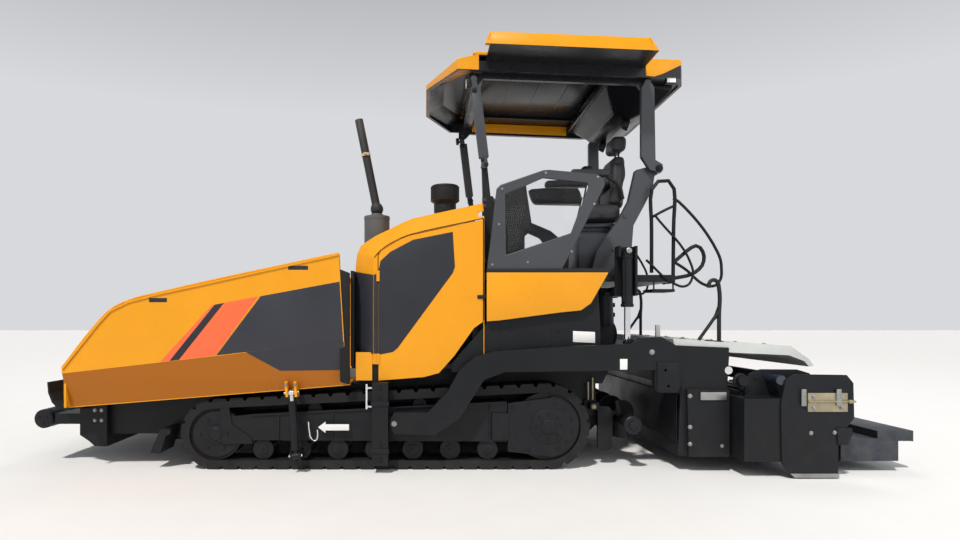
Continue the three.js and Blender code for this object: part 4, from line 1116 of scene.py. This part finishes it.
class PAVER_OT_screed(bpy.types.Operator):
    """Screed plates, covers, handrails, guides, end gates and walkways"""
    bl_idname = "paver.screed"
    bl_label = "Screed"

    def execute(self, context):
        side_face = -1250
        side = studs(side_face, 13, 9, (1903.3, 640), (1903.3, 381.7), (1903.3, 240))
        side += studs(side_face, 11, 8, (2170, 640), (2170, 223.3))
        side.append(block(1986.7, 2203.3, side_face - 14, side_face + 2, 606.7, 673.3, 4))
        pair(side, "screed_side_bolts", "steel", SCREED)
        rails = [bent([(2262, 1062), (2262, 1300), (2262, 1545), (2240, 1612), (2205, 1620), (2178, 1596),
            (2170, 1555)], 17.5, 12, 8, y=-1000), bent([(2262, 1352), (2180, 1232), (2082, 1096)], 15, 10,
            4, y=-1000)]
        rails.append(plate([(2150, 1082), (2290, 1074), (2290, 1090), (2150, 1098)], -1040, -960, 3))
        rails.append(sheet_plate([(2250, -1002, 1400), (2250, -1002, 1290), (2196, -1002, 1250)], 5, 1))
        pair(rails, "screed_handrails", "plastic", SCREED)
        knobs = [shaft((2270, y - 60, 1082), (2270, y + 60, 1082), 13) for y in (-800, -200, 200, 800)]
        knobs += [hex_bolt((2600, y, 1066.8), (0.07, 0, 1), 12, 8)
            for y in (-1100, -600, -100, 100, 600, 1100)]
        piece(knobs, "cover_hinges", "steel", SCREED)
        tubes = [shaft((2245, s * 1210, 850), (2245, s * 40, 850), 34) for s in (-1, 1)]
        piece(tubes, "guide_tubes", "chrome", SCREED)
        piece(block(1813, 1820, -1190, 1190, 250, 640, 3), "screed_front_plate", "black", SCREED)
        sleeve = carved(shaft((2560, -1150, 790), (2560, -60, 790), 52),
            shaft((2560, -1170, 790), (2560, -50, 790), 43))
        pair(sleeve, "guide_sleeve", "black", SCREED)
        pair(shaft((2560, -1434, 790), (2560, -90, 790), 40), "guide_ram", "ram", EXT)
        # extension: tube gland, rear boxes, walkway
        gland = [lathe_y(2330, -1226, -1300, 770, [(0, 60), (0.2, 60), (0.3, 46), (1, 44)], 32),
            block(2905, 2915, -1180, -120, 200, 540, 3)]
        gland += [block(2300 + i * 150, 2400 + i * 150, -1100, -160, 640, 672, 8) for i in range(4)]
        gland += [stud(2450 + i * 130, -1251, 790 - (i % 2) * 120, 12, 8) for i in range(4)]
        pair(gland, "extension_covers", "black", EXT)
        board = [block(3482, 3785, -1222, -68, 339, 346.5, 2), block(3176, 3480, -1222, -68, 275, 281, 2)]
        pair(board, "walkway_tread", "walk", EXT)
        edge = [block(3776, 3787, -1223, -67, 256, 346, 3), block(3484, 3784, -1226, -1219, 262, 346, 2),
            block(3176, 3660, -1225, -1219, 92, 282, 3)]
        pair(edge, "walkway_edges", "walk", EXT)
        # end gate: adjusting plates, links, threaded rod, hinge link
        gate_face = -1450
        gate = [block(2759, 3079, gate_face - 9, gate_face, 538, 690, 3)]
        pair(gate, "gate_adjuster", "zinc", EXT)
        bolts = [*studs(gate_face - 9, 14, 10, (2807, 658), (3031, 658), (2807, 570), (3031, 570)),
            *studs(gate_face, 12, 9, (2789.1, 368.2), (2978.3, 372.2))]
        bolts += [block(2703, 2743, gate_face - 20, gate_face - 8, 586, 722, 3),
            block(2983, 3023, gate_face - 20, gate_face - 8, 586, 722, 3)]
        pair(bolts, "gate_bolts", "steel", EXT)
        screw = [shaft((2760, gate_face - 14, 622), (3140, gate_face - 14, 622), 8),
            turned((3080, gate_face - 14, 622), (3110, gate_face - 14, 622), [(0, 16), (1, 16)], 6)]
        pair(screw, "gate_screw", "zinc", EXT)
        link = [plate([(2991, 410), (3111, 410), (3119, 362), (3079, 274), (2999, 274)], gate_face - 12,
            gate_face - 1, 3)]
        pair(link, "gate_link", "black", EXT)
        shoe = [plate([(2655, 10), (3012, 10), (3012, 44), (2620, 44)], gate_face - 10, gate_face + 18, 3)]
        pair(shoe, "gate_shoe", "steel", EXT)
        return {"FINISHED"}


# ------------------------------------------------------------------ add-on


MAKERS = (PAVER_OT_stage, PAVER_OT_frame_finishes, PAVER_OT_hopper, PAVER_OT_front, PAVER_OT_tracks,
    PAVER_OT_hood, PAVER_OT_platform, PAVER_OT_canopy, PAVER_OT_rear, PAVER_OT_tow_arms, PAVER_OT_screed)
GROUPS = (("paver_finishes", PaverFinishes), ("paver_sizes", PaverSizes), ("paver_stage", PaverStage))


class PAVER_PT_pieces(bpy.types.Panel):
    """Lists the paver's operators and settings"""
    bl_idname = "PAVER_PT_pieces"
    bl_label = "Tracked asphalt paver"
    bl_space_type = "VIEW_3D"
    bl_region_type = "UI"
    bl_category = "Paver"

    def draw(self, context):
        for maker in MAKERS:
            self.layout.operator(maker.bl_idname)
        for name, _ in GROUPS:
            settings = getattr(context.scene, name)
            for key in settings.bl_rna.properties.keys():
                if key not in ("rna_type", "name"):
                    self.layout.prop(settings, key)


def register():
    for name, group in GROUPS:
        bpy.utils.register_class(group)
        setattr(bpy.types.Scene, name, PointerProperty(type=group))
    for cls in MAKERS + (PAVER_PT_pieces,):
        bpy.utils.register_class(cls)


def unregister():
    for cls in reversed(MAKERS + (PAVER_PT_pieces,)):
        bpy.utils.unregister_class(cls)
    for name, group in reversed(GROUPS):
        delattr(bpy.types.Scene, name)
        bpy.utils.unregister_class(group)


def main():
    register()
    for maker in MAKERS:
        kind, name = maker.bl_idname.split(".")
        getattr(getattr(bpy.ops, kind), name)()


if __name__ == "__main__":
    main()
